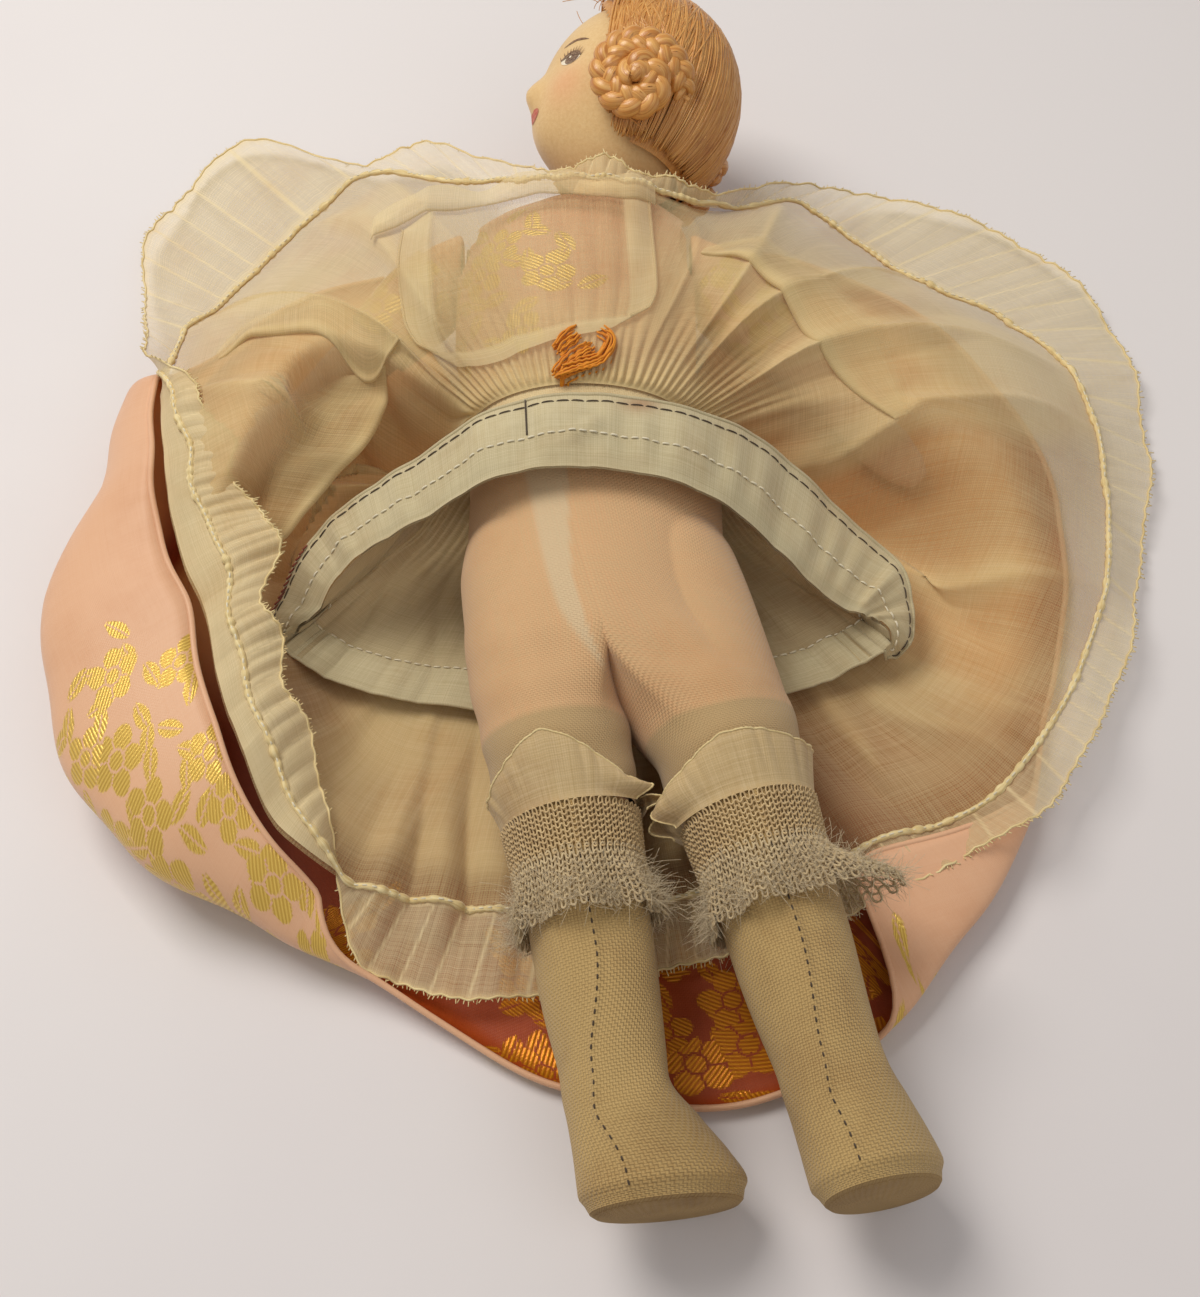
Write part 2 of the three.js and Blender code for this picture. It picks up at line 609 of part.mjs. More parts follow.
for (const side of Object.keys(sides)) {
  const body = `${side}Arm`;
  const outward = v3(sides[side], 0, 0);
  const face = shoulders[side].clone().addScaledVector(outward, jointGap / 2);
  const felt = keepPast(arm(side, 0).add(thumb(side)), outward, face);
  place(body, `${side}_arm`, geometryOf(felt.subtract(pocket(limbDiscRadius, 1, shoulders[side],
      outward))), finish.felt);
  joint(`${side}_shoulder`, body, limbDiscRadius, shoulders[side], outward);
  const { aim, at } = armFrame(side);
  const sleeve = keepPast(arm(side, skinGap + sleeveThickness).subtract(arm(side, skinGap)),
      aim.clone().negate(), at(sleeveLength));
  const cuffed = keepPast(sleeve, outward,
      face.clone().addScaledVector(outward, skinGap + feltSkin + jointGap));
  place(body, `${side}_sleeve`, geometryOf(cuffed), finish.brocade);
}

// Head: in its own frame with the face to +X, the left ear to +Y and the crown to +Z.
const facedDown = v3(0, 0, -1).projectOnPlane(neckAxis).normalize();
const faceWay = facedDown.applyAxisAngle(neckAxis, headTurn);
const earWay = neckAxis.clone().cross(faceWay);
const headRise = neckStem + headHalfHeight;
const headFrame = new THREE.Matrix4().makeBasis(faceWay, earWay, neckAxis)
  .setPosition(neckSeat.clone().addScaledVector(neckAxis, headRise));

// A rounded form about the head's middle: half sizes, then swellings as [direction, height, spread].
function rounded(halfSizes, swellings, wide, high) {
  const ball = new THREE.SphereGeometry(1, wide, high).rotateX(Math.PI / 2);
  const positions = ball.attributes.position;
  for (let index = 0; index < positions.count; index++) {
    const way = v3().fromBufferAttribute(positions, index).normalize();
    const reach = 1 / way.clone().divide(halfSizes).length();
    const swell = swellings.reduce((sum, swelling) => sum + swelling(way), 0);
    positions.setXYZ(index, ...way.multiplyScalar(reach + swell).toArray());
  }
  return ball;
}

const bump = (x, y, z, height, spread) => {
  const middle = v3(x, y, z).normalize();
  return (way) => height * Math.exp(-way.distanceToSquared(middle) / (2 * spread * spread));
};
const features = [
  bump(1, 0, -0.2, 3.4, 0.11), bump(0.84, 0, -0.62, 1.8, 0.22),
  bump(0.8, 0.42, -0.36, 1.4, 0.25), bump(0.8, -0.42, -0.36, 1.4, 0.25),
  bump(0.92, 0.36, 0.06, -1, 0.16), bump(0.92, -0.36, 0.06, -1, 0.16),
];
const headSize = (grow) => v3(headHalfDepth + grow, headHalfWidth + grow, headHalfHeight + grow);
const headForm = (grow) => solid(rounded(headSize(grow), features, 24, 16));
const wigSize = headSize(hairThickness);
const strands = (way) => -strandDepth * (0.5 + 0.5 * Math.cos(strandCount * Math.atan2(way.z, way.x) * 2));

function wig() {
  const cap = solid(rounded(wigSize, [strands], 24, 13));
  const faceRoom = solid(rounded(v3(hairlineX * 0.86, headHalfWidth * 1.4, headHalfHeight * 0.84), [], 20, 12)
    .translate(hairlineX, 0, -headHalfHeight * 0.2));
  return keepPast(cap.subtract(headForm(skinGap)).subtract(faceRoom), v3(0, 0, 1), v3(0, 0, napeLine));
}

// A plait wound in a flat spiral over the ear, lying on the hair.
function braidRoute(side) {
  const steps = Math.round(24 * braidTurns);
  return Array.from({ length: steps + 1 }, (_, step) => {
    const turn = (step / steps) * braidTurns;
    const radius = braidStart + braidPitch * turn;
    const angle = 2 * Math.PI * turn;
    const [x, z] = [coilX + radius * Math.cos(angle), coilZ + radius * Math.sin(angle)];
    const y = side * wigSize.y * Math.sqrt(1 - (x / wigSize.x) ** 2 - (z / wigSize.z) ** 2);
    const rise = braidRise * (1 - radius / (braidStart + braidPitch * braidTurns)) ** 2;
    const outward = v3(x, y, z).divide(wigSize).divide(wigSize).normalize();
    return v3(x, y, z).addScaledVector(outward, braidRadius + skinGap + rise);
  });
}

function leastGap(route, radius) {
  const reach = 6 * radius;
  const travelled = route.map((_, index) => route.slice(1, index + 1)
      .reduce((sum, p, k) => sum + p.distanceTo(route[k]), 0));
  let least = Infinity;
  route.forEach((p, i) => route.forEach((q, j) => {
    if (travelled[j] - travelled[i] > reach) least = Math.min(least, p.distanceTo(q) - 2 * radius);
  }));
  return least;
}

function braidCoil(side) {
  const route = braidRoute(side);
  console.log("braid coil, least gap between turns:", leastGap(route, braidRadius).toFixed(2), "mm");
  const section = new THREE.Shape(Array.from({ length: 6 }, (_, k) =>
    new THREE.Vector2(braidRadius * Math.cos((k * Math.PI) / 3), braidRadius * Math.sin((k * Math.PI) / 3))));
  const path = new THREE.CatmullRomCurve3(route);
  return new THREE.ExtrudeGeometry(section,
      { steps: route.length - 1, extrudePath: path, bevelEnabled: false });
}

function neck() {
  const inHead = new THREE.Matrix4().copy(headFrame).invert();
  const stem = solid(revolve([[0, jointGap / 2], [neckRadius, jointGap / 2],
      [neckRadius * 0.9, headRise / 2], [0, headRise / 2]],
    18, neckSeat, neckAxis).applyMatrix4(inHead));
  const seat = pocket(limbDiscRadius, 1, v3(0, 0, -headRise), v3(0, 0, 1));
  return stem.subtract(headForm(skinGap)).subtract(seat);
}

const inPlace = (geometry) => geometry.applyMatrix4(headFrame);
place("head", "head", inPlace(geometryOf(headForm(0))), finish.faceFelt);
place("head", "neck", inPlace(geometryOf(neck())), finish.faceFelt);
place("head", "wig_cap", inPlace(geometryOf(wig())), finish.hair);
place("head", "left_braid_coil", inPlace(braidCoil(1)), finish.hair);
place("head", "right_braid_coil", inPlace(braidCoil(-1)), finish.hair);
joint("neck", "head", limbDiscRadius, neckSeat, neckAxis);

// Skirts: each starts at the waistband and spreads over the table.
// The petticoat's back lies over the doll's back.
const waistRing = (degrees, y, grow) => {
  const angle = THREE.MathUtils.degToRad(degrees);
  const reach = skinGap + waistbandThickness + grow;
  const [x, lift, halfWidth, halfDepth] = trunkSection(y);
  return v3(x + (halfWidth + reach) * Math.cos(angle), y,
      spineHeight + lift + (halfDepth + reach) * Math.sin(angle));
};
const polar = (degrees, radius, height) => {
  const angle = THREE.MathUtils.degToRad(degrees);
  return v3(waistX + radius * Math.cos(angle), waistY + radius * Math.sin(angle), height);
};

// 1 over the doll's back, 0 under its legs
function overBack(degrees) {
  const turn = degrees > 270 ? degrees - 360 : degrees;
  return smooth(-30, 6, turn) * (1 - smooth(172, 206, turn));
}

function petticoatPoint(degrees, share) {
  const start = waistRing(degrees, waistbandTop - 1.6, skinGap + gauzeThickness / 2);
  const rim = polar(degrees, around(petticoatSeam, degrees), around(petticoatSeamHeight, degrees));
  const point = start.clone().lerp(rim, share);
  const sideways = Math.abs(Math.cos(THREE.MathUtils.degToRad(degrees)));
  const tent = mix(petticoatTent.back, petticoatTent.side, smooth(0.2, 0.65, sideways))
      * Math.sin(Math.PI * share);
  const fold = petticoatFoldHeight * Math.sin(THREE.MathUtils.degToRad(petticoatFolds * degrees))
      * smooth(0.35, 0.8, share);
  const floor = mix(mix(start.z, petticoatFloor, smooth(0, 0.1, share)), rim.z, smooth(0.68, 1, share));
  point.z = mix(floor, point.z + tent, overBack(degrees)) + Math.max(fold, 0);
  return point;
}

// The petticoat's edge runs straight from one column of its sheet to the next.
const petticoatColumns = 50;
function petticoatEdge(degrees) {
  const step = 360 / petticoatColumns;
  const column = Math.floor(degrees / step + 1e-6);
  const from = petticoatPoint(column * step, 1);
  return from.lerp(petticoatPoint((column + 1) * step, 1), degrees / step - column);
}

// The ruffle lies outwards from that edge, or stands up and turns back over the petticoat.
function rufflePoint(degrees, share) {
  const seam = petticoatEdge(degrees);
  const reach = Math.hypot(seam.x - waistX, seam.y - waistY);
  const edgeReach = around(ruffleEdge, degrees);
  const turned = smooth(-8, 4, reach - edgeReach);
  const outward = polar(degrees, 1, 0).sub(polar(degrees, 0, 0));
  const start = seam.addScaledVector(outward, seamGap * (1 - 2 * turned));
  start.z += 4 * seamGap * turned;
  const point = start.lerp(polar(degrees, edgeReach, around(ruffleEdgeHeight, degrees)), share);
  point.z += rufflePleatHeight * Math.cos(THREE.MathUtils.degToRad(rufflePleats * degrees)) * share;
  return point;
}

function underPetticoatPoint(degrees, share) {
  const angle = THREE.MathUtils.degToRad(degrees);
  const start = waistRing(degrees, waistbandFoot + 1.6, skinGap + gauzeThickness / 2);
  const [across, deep] = [Math.cos(angle), Math.sin(angle)];
  const height = deep > 0
    ? mix(underHemHeight.side, underHemHeight.back, deep ** 0.6)
    : mix(underHemHeight.side, underHemHeight.front, (-deep) ** 0.7);
  const hem = v3(underHemX + underHemHalfWidth * across, underHemY + underHemHalfLength * deep, height);
  const point = start.clone().lerp(hem, share);
  point.z = mix(start.z, hem.z, smooth(0, deep > 0 ? 0.6 : 0.35, share));
  point.z += underFoldHeight * Math.max(0, Math.sin(underFolds * angle)) * smooth(0.3, 0.9, share)
      * smooth(-0.7, 0, deep);
  return point;
}

// The skirt's floor runs to its wall, and the wall curls up and over to the hem.
function skirtPoint(degrees, share) {
  const angle = THREE.MathUtils.degToRad(degrees);
  const front = Math.max(0, -Math.sin(angle)) ** 1.5;
  const start = waistRing(degrees, bodiceFoot + 2, brocadeThickness);
  const level = (brocadeThickness - 2 * flatCut) / 2;
  const underBodice = feltSkin - waistbandThickness + skinGap + brocadeThickness / 2;
  start.z = mix(level, waistRing(270, bodiceFoot + 2, underBodice).z, front);
  const [contour, height, turn] = [skirtContour, skirtRimHeight, skirtRimTurn]
      .map((list) => along(list, degrees));
  const bulge = 3 + skirtWallShare * height;
  const floorShare = 0.62;
  const foot = polar(degrees, contour - bulge, level);
  const floor = start.clone().lerp(foot, Math.min(share / floorShare, 1));
  floor.z = mix(start.z, level, smooth(0, 0.06, share));
  floor.z += skirtFoldHeight * Math.max(0, Math.sin(skirtFolds * angle)) * smooth(0.3, 0.5, share)
      * (1 - smooth(0.5, 0.62, share));
  if (share <= floorShare) return floor;
  const curl = ((share - floorShare) / (1 - floorShare)) * turn * Math.PI;
  const reach = contour - bulge * (1 - Math.sin(curl));
  return polar(degrees, reach, level + (height / 2) * (1 - Math.cos(curl)));
}

const easeOut = (v) => v ** 1.5;
const skirtDegrees = (u) => mix(skirtSpan[0], skirtSpan[1], u);
const skirtRows = [0, 0.02, 0.045, 0.075, 0.2, 0.38, 0.52, 0.62, 0.7, 0.78, 0.86, 0.93, 1];
const skirtShare = (v) => skirtRows[Math.round(v * (skirtRows.length - 1))];
const skirtSheet = sheet((u, v) => skirtPoint(skirtDegrees(u), skirtShare(v)), 38, skirtRows.length - 1,
  brocadeThickness, false);
const skirtFlat = keepPast(solid(skirtSheet), v3(0, 0, 1), v3(0, 0, 0));
place("torso", "skirt", geometryOf(skirtFlat), finish.brocade);
place("torso", "petticoat", sheet((u, v) => petticoatPoint(360 * u, easeOut(v)), petticoatColumns, 7,
    gauzeThickness, true), finish.gauze);
place("torso", "petticoat_ruffle",
    sheet((u, v) => rufflePoint(360 * u, v), 2 * petticoatColumns, 2, gauzeThickness, true), finish.gauze);
place("torso", "under_petticoat",
    sheet((u, v) => underPetticoatPoint(360 * u, v), 48, 4, gauzeThickness, true), finish.paleGauze);

// The part's origin is the middle of its footprint on the table.
doll.updateMatrixWorld(true);
const extent = new THREE.Box3().setFromObject(doll, true);
const middle = extent.getCenter(v3());
doll.position.set(-middle.x, -middle.y, -extent.min.z);

export default doll;
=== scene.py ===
# %% [markdown]
# # A felt doll that lies face down
# The doll lies on its front with its feet towards us and its skirts thrown up over its back.
# The CAD model gives each piece its place. This lesson replaces its plain cloth solids with fine
# cloth, knitting and hair that follow the same forms, and gives every surface a finish.

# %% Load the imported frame
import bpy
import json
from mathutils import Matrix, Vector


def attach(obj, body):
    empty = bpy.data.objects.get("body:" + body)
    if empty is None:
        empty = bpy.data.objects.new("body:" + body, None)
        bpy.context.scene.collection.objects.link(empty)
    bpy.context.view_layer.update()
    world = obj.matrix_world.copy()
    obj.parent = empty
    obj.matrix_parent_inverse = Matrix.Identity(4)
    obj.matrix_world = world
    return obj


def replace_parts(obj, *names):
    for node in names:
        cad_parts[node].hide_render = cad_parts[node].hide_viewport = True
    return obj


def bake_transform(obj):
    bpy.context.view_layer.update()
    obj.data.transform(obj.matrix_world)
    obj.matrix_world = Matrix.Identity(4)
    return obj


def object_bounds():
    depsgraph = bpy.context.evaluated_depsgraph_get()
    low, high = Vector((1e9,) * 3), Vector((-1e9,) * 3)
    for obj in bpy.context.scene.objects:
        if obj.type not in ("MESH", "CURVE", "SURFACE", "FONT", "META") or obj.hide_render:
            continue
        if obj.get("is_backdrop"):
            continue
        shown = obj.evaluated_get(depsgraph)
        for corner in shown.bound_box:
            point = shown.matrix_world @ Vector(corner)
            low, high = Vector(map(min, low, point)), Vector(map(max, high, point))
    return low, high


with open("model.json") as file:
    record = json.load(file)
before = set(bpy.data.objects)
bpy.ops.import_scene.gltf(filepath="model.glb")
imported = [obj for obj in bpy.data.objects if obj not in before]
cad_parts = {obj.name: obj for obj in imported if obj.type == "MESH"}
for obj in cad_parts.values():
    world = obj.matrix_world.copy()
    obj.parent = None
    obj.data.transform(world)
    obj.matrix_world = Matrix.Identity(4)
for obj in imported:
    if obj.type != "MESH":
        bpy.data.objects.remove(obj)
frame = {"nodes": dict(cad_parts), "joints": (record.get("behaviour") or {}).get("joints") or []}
cad_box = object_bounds()
print("CAD box in metres:", [[round(float(x), 4) for x in corner] for corner in cad_box])

# %% [markdown]
# ## Units and small tools
# The doll was laid out in millimetres, with the hips near the origin and the head towards +Y. The
# frame has its origin under the middle of the part, so one joint, whose place is known in both, gives
# the shift between them. All shapes below are written in layout millimetres.

# %% Layout and frame
import json
import math

import bpy
import numpy as np
from mathutils import Vector
from mathutils.bvhtree import BVHTree

scene = bpy.context.scene
joint_at = {joint["name"]: np.array(joint["pos_m"]) * 1000 for joint in frame["joints"]}
LIE, HIP_Y = 29.0, 8.0  # height of the trunk and legs over the table, and where the hips are along it
shift = joint_at["left_hip_swing"] - np.array((-11.3, HIP_Y, LIE))
sides = {"left": -1, "right": 1}


def in_frame(points):
    """Layout millimetres as metres of the frame."""
    return (np.asarray(points, float) + shift) / 1000


print("layout to frame shift in mm:", shift.round(3))


# %% Curves
def smooth(low, high, x):
    share = np.clip((x - low) / (high - low), 0, 1)
    return share * share * (3 - 2 * share)


def window(rise, fall, x):
    """0, then 1, then 0 again; each edge is where it starts and where it ends."""
    return smooth(*rise, x) * (1 - smooth(*fall, x))


def mix(a, b, share):
    return a + (b - a) * share


def unit(vectors):
    return vectors / np.maximum(np.linalg.norm(vectors, axis=-1, keepdims=True), 1e-12)


def joined(*parts):
    """Points from their coordinates, which need not be of one shape."""
    return np.stack(np.broadcast_arrays(*parts), axis=-1)


def curve(knots, values, x):
    """A cubic through the knots that doesn't swing past them."""
    knots, values = np.asarray(knots, float), np.asarray(values, float)
    width = np.diff(knots)
    slope = np.diff(values) / width
    same = slope[1:] * slope[:-1]
    inner = np.where(same > 0, 2 * same / np.where(same > 0, slope[1:] + slope[:-1], 1), 0)
    tangent = np.concatenate([slope[:1], inner, slope[-1:]])
    x = np.clip(x, knots[0], knots[-1])
    i = np.clip(np.searchsorted(knots, x, side="right") - 1, 0, len(width) - 1)
    t, h = (x - knots[i]) / width[i], width[i]
    rise = (t**3 - 2 * t**2 + t) * h * tangent[i] + (t**3 - t**2) * h * tangent[i + 1]
    return mix(values[i], values[i + 1], 3 * t**2 - 2 * t**3) + rise


def curves(knots, table, x):
    """One such curve for each column of a table."""
    return [curve(knots, column, x) for column in np.array(table, float).T]


def around(pairs, degrees):
    """A value round the waist from a short list of (angle in degrees, value)."""
    angle, value = np.array(pairs, float).T
    knots = np.concatenate([angle[-3:] - 360, angle, angle[:3] + 360])
    return curve(knots, np.concatenate([value[-3:], value, value[:3]]), np.mod(degrees, 360))


def ripple(angle, counts, seed):
    """An uneven wave of about -1 to 1 that closes on itself round a turn."""
    chance = np.random.default_rng(seed)
    waves = [chance.uniform(0.5, 1) * np.sin(n * angle + chance.uniform(0, 2 * np.pi)) for n in counts]
    return sum(waves) / math.sqrt(len(counts))


def pleats(angle, count, seed, wander=0.8):
    """Round ridges with sharp valleys between them, from 0 to 1, unevenly spaced."""
    return np.abs(np.sin(0.5 * count * angle + wander * ripple(angle, (3, 5, 8, 13), seed)))


print("a pleat swings between", pleats(np.linspace(0, 6, 500), 40, 1).min().round(2), "and 1")

# %% What the camera sees
EYE, TILT = np.array((0, -207.5, 371.4)), math.radians(30)  # the tilt is from straight down
AHEAD, UPWARD = np.array((0, 0.5, -math.sqrt(0.75))), np.array((0, math.sqrt(0.75), 0.5))  # by that tilt
PICTURE, FOCAL = (1200, 1297), 1750  # the picture's size and the lens, in the picture's own steps
MIDDLE = PICTURE[0] / 2, PICTURE[1] / 2


def seen_at(column, row, height):
    """The layout place at a height that the camera shows at a place in its picture."""
    way = AHEAD + np.array((1, 0, 0)) * (np.asarray(column)[..., None] - MIDDLE[0]) / FOCAL
    way = way + UPWARD * (MIDDLE[1] - np.asarray(row)[..., None]) / FOCAL
    return EYE + way * ((np.asarray(height)[..., None] - EYE[2]) / way[..., 2:])


def in_picture(points):
    """The column and row at which the camera shows layout points."""
    way = np.asarray(points) - EYE
    depth = way @ AHEAD
    return MIDDLE[0] + FOCAL * way[..., 0] / depth, MIDDLE[1] - FOCAL * (way @ UPWARD) / depth


print("the camera's middle meets the table at", seen_at(*MIDDLE, 0.0).round(1))

# %% [markdown]
# ## Mesh tools
# Almost all of the doll is cloth, so most pieces are grids of points: rows down the cloth, columns
# across it. Each grid keeps its own flat coordinates in millimetres as its UVs, so that a weave has
# the right thread count however the cloth is folded. Thread, yarn and hair are thin tubes.


# %% Pieces from points and faces
def new_piece(name, points, faces, material, body, uv=None):
    mesh = bpy.data.meshes.new(name)
    mesh.from_pydata(in_frame(points).tolist(), [], faces)
    if uv is not None:
        mesh.uv_layers.new(name="cloth").data.foreach_set("uv", np.asarray(uv, np.float32).ravel())
    for each in material if isinstance(material, (list, tuple)) else [material]:
        mesh.materials.append(each)
    mesh.polygons.foreach_set("use_smooth", np.ones(len(mesh.polygons), bool))
    mesh.update()
    obj = bpy.data.objects.new(name, mesh)
    scene.collection.objects.link(obj)
    if body:
        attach(obj, body)
    return obj


def quads(rows, columns, wraps):
    row, column = np.meshgrid(np.arange(rows - 1), np.arange(columns - (not wraps)), indexing="ij")
    after = (column + 1) % columns
    corners = [row * columns + column, row * columns + after]
    corners += [(row + 1) * columns + after, (row + 1) * columns + column]
    return np.stack(corners, axis=-1).reshape(-1, 4)


def corner_uv(u, v):
    """UVs of a grid's corners; u and v have one more column than a grid that wraps."""
    flat = joined(u, v)
    corners = [flat[:-1, :-1], flat[:-1, 1:], flat[1:, 1:], flat[1:, :-1]]
    return np.stack(corners, axis=2).reshape(-1, 2)


def grid_piece(name, points, material, body, u, v, wraps=False, keep=None, flip=False):
    rows, columns = points.shape[:2]
    faces, uv = quads(rows, columns, wraps), corner_uv(u, v).reshape(-1, 4, 2)
    if flip:
        faces, uv = faces[:, ::-1], uv[:, ::-1]
    if keep is not None:
        stays = keep(points.reshape(-1, 3)[faces].mean(axis=1))
        faces, uv = faces[stays], uv[stays]
        used, index = np.unique(faces, return_inverse=True)
        points, faces = points.reshape(-1, 3)[used], index.reshape(-1, 4)
    return new_piece(name, points.reshape(-1, 3), faces.tolist(), material, body, uv)


def way_along(points, wraps):
    """The way that each row of points runs."""
    if wraps:
        return np.roll(points, -1, axis=1) - np.roll(points, 1, axis=1)
    return np.gradient(points, axis=1)


def grid_normals(points, wraps=False):
    return unit(np.cross(way_along(points, wraps), np.gradient(points, axis=0)))


def facing_up(normals):
    return normals * np.where(normals[..., 2:] < 0, -1, 1)


# %% Threads, yarn and hair
def tube_piece(name, paths, normals, radius, material, body, around_it=4, closed=False, finish=None):
    """Thin tubes along paths (tubes, points, 3), with the normals of what they lie on."""
    paths = np.asarray(paths, float)
    tubes, steps = paths.shape[:2]
    along = unit(way_along(paths, closed))
    across = unit(np.cross(along, np.broadcast_to(normals, paths.shape)))
    up = np.cross(across, along)
    turn = 2 * np.pi * (np.arange(around_it) + 0.5) / around_it
    reach = np.broadcast_to(radius, (tubes, steps))[..., None, None]
    ring = np.cos(turn)[:, None] * across[:, :, None] + np.sin(turn)[:, None] * up[:, :, None]
    points = (paths[:, :, None] + reach * ring).reshape(-1, 3)
    one = quads(steps + closed, around_it, True) % (steps * around_it)
    start = np.arange(tubes) * steps * around_it
    faces = (one[None] + start[:, None, None]).reshape(-1, 4).tolist()
    if not closed:
        ends = np.stack([np.arange(around_it)[::-1], (steps - 1) * around_it + np.arange(around_it)])
        faces += (ends[None] + start[:, None, None]).reshape(-1, around_it).tolist()
    length = np.cumsum(np.linalg.norm(np.diff(paths, axis=1, prepend=paths[:, :1]), axis=2), axis=1)
    apart = np.arange(around_it) * 0.7 + 7.3 * np.arange(tubes)[:, None, None]
    place = joined(apart, length[..., None]).reshape(-1, 2)
    uv = np.concatenate([place[face] for face in faces])
    return new_piece(name, points, faces, material, body, uv)


def curled_hairs(root, lean, curl, length, steps):
    """Paths of hairs that leave their roots along lean and bend towards curl."""
    step = np.linspace(0, 1, steps)[None, :, None]
    return root[:, None] + length * (lean[:, None] * step + 0.5 * curl * step**2)


def stitches(name, line, normals, pitch, length, radius, material, body, lift=0.1, finish=None):
    """Short straight stitches along a line of points on cloth."""
    line, normals = np.asarray(line, float), np.asarray(normals, float)
    run = np.concatenate([[0], np.cumsum(np.linalg.norm(np.diff(line, axis=0), axis=1))])
    starts = np.arange(pitch / 2, run[-1] - length, pitch)
    place = starts[:, None] + length * np.array((0, 0.15, 0.5, 0.85, 1))
    on = joined(*(np.interp(place, run, line[:, k]) for k in range(3)))
    out = unit(joined(*(np.interp(place, run, normals[:, k]) for k in range(3))))
    on = on + out * (lift + radius * np.array((-0.8, 0.5, 0.8, 0.5, -0.8)))[None, :, None]
    thick = radius * np.array((0.6, 1, 1.05, 1, 0.6))
    print(f"{name}: {len(starts)} stitches of {length} mm")
    return tube_piece(name, on, out, thick[None], material, body, 5, finish=finish)


# %% Stuffed copies of CAD solids
def stuffed(node, name, voxel, rounds, material, body):
    """A soft copy of a CAD solid: remeshed evenly, then eased until its facets are gone."""
    obj = bpy.data.objects.new(name, frame["nodes"][node].data.copy())
    obj.data.materials.clear()
    scene.collection.objects.link(obj)
    remesh = obj.modifiers.new("even", "REMESH")
    remesh.mode, remesh.voxel_size = "VOXEL", voxel / 1000
    ease = obj.modifiers.new("ease", "SMOOTH")
    ease.factor, ease.iterations = 0.5, rounds
    shape = bpy.data.meshes.new_from_object(obj.evaluated_get(bpy.context.evaluated_depsgraph_get()))
    obj.modifiers.clear()
    obj.data = shape
    shape.materials.clear()
    shape.materials.append(material)
    shape.polygons.foreach_set("use_smooth", np.ones(len(shape.polygons), bool))
    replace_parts(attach(obj, body), node)
    print(f"{name}: {len(shape.polygons)} faces")
    return obj

# %% [markdown]
# ## Shader groups
# Weave, age, fibres, combed strands and the woven flowers are each used by several finishes, so each
# is a node group that puts out only colours and values. A tiny helper places a node, fills its
# inputs in order and links whatever is a socket.


# %% Node helpers
def fill(socket, value):
    """Link an input to a socket, or set it to a plain value."""
    if isinstance(value, bpy.types.NodeSocket):
        socket.id_data.links.new(value, socket)
    elif value is not None:
        socket.default_value = value


def add(tree, kind, *values, **settings):
    node = tree.nodes.new("ShaderNode" + kind)
    for key, value in settings.items():
        setattr(node, key, value)
    for socket, value in zip(node.inputs, values):
        fill(socket, value)
    return node


def tree_of(values):
    """The node tree of the first socket among some values."""
    return next(value.id_data for value in values if isinstance(value, bpy.types.NodeSocket))


def calc(operation, *values, clamp=False):
    return add(tree_of(values), "Math", *values, operation=operation, use_clamp=clamp).outputs[0]


def between(value, *ends):
    """A smooth step of a value from one range to 0 and 1, or to a second range."""
    return add(value.id_data, "MapRange", value, *ends, interpolation_type="SMOOTHSTEP").outputs[0]


def blended(share, first, second):
    node = add(share.id_data, "Mix", data_type="RGBA", clamp_factor=True)
    for k, value in zip((0, 6, 7), (share, first, second)):
        fill(node.inputs[k], value)
    return node.outputs[2]


def tone(red, green, blue):
    """A colour as the eye names it, from 0 to 255, as Blender's linear light."""
    parts = np.array((red, green, blue)) / 255
    linear = np.where(parts <= 0.04045, parts / 12.92, ((parts + 0.055) / 1.055) ** 2.4)
    return (*linear.tolist(), 1.0)


def shader_group(name, inputs, outputs):
    """An empty group with named sockets; inputs are (kind, name, value)."""
    group = bpy.data.node_groups.new(name, "ShaderNodeTree")
    for kind, label, value in inputs:
        socket = group.interface.new_socket(label, in_out="INPUT", socket_type="NodeSocket" + kind)
        if value is not None:
            socket.default_value = value
    for kind, label in outputs:
        group.interface.new_socket(label, in_out="OUTPUT", socket_type="NodeSocket" + kind)
    return group, group.nodes.new("NodeGroupInput").outputs, group.nodes.new("NodeGroupOutput").inputs


def use(group, **values):
    node = add(tree_of(values.values()), "Group", node_tree=group)
    for label, value in values.items():
        fill(node.inputs[label.replace("_", " ")], value)
    return node.outputs


# %% Plain weave with uneven threads
weave, given, out = shader_group(
    "Plain weave",
    [("Vector", "Cloth place", None), ("Float", "Pitch", 0.5), ("Float", "Slub", 0.3)],
    [("Float", "Height"), ("Float", "Slub tone")])
place = add(weave, "SeparateXYZ", given["Cloth place"]).outputs
threads = [calc("SINE", calc("DIVIDE", calc("MULTIPLY", place[k], math.pi), given["Pitch"])) for k in (0, 1)]
over = calc("GREATER_THAN", calc("MULTIPLY", *threads), 0.0)
crowns = [calc("ABSOLUTE", thread) for thread in threads]
lifted = calc("MULTIPLY", calc("SUBTRACT", crowns[0], crowns[1]), over)
fill(out["Height"], calc("ADD", crowns[1], lifted))
uneven = []
for stretch in ((2.6, 0.04, 1), (0.04, 2.6, 1)):
    stretched = add(weave, "VectorMath", given["Cloth place"], stretch, operation="MULTIPLY").outputs[0]
    uneven.append(add(weave, "TexNoise", stretched, None, 1.0, 3.0, 0.6).outputs[0])
both = calc("SUBTRACT", calc("ADD", *uneven), 1.0)
fill(out["Slub tone"], calc("MULTIPLY", both, given["Slub"]))
print("group:", weave.name)

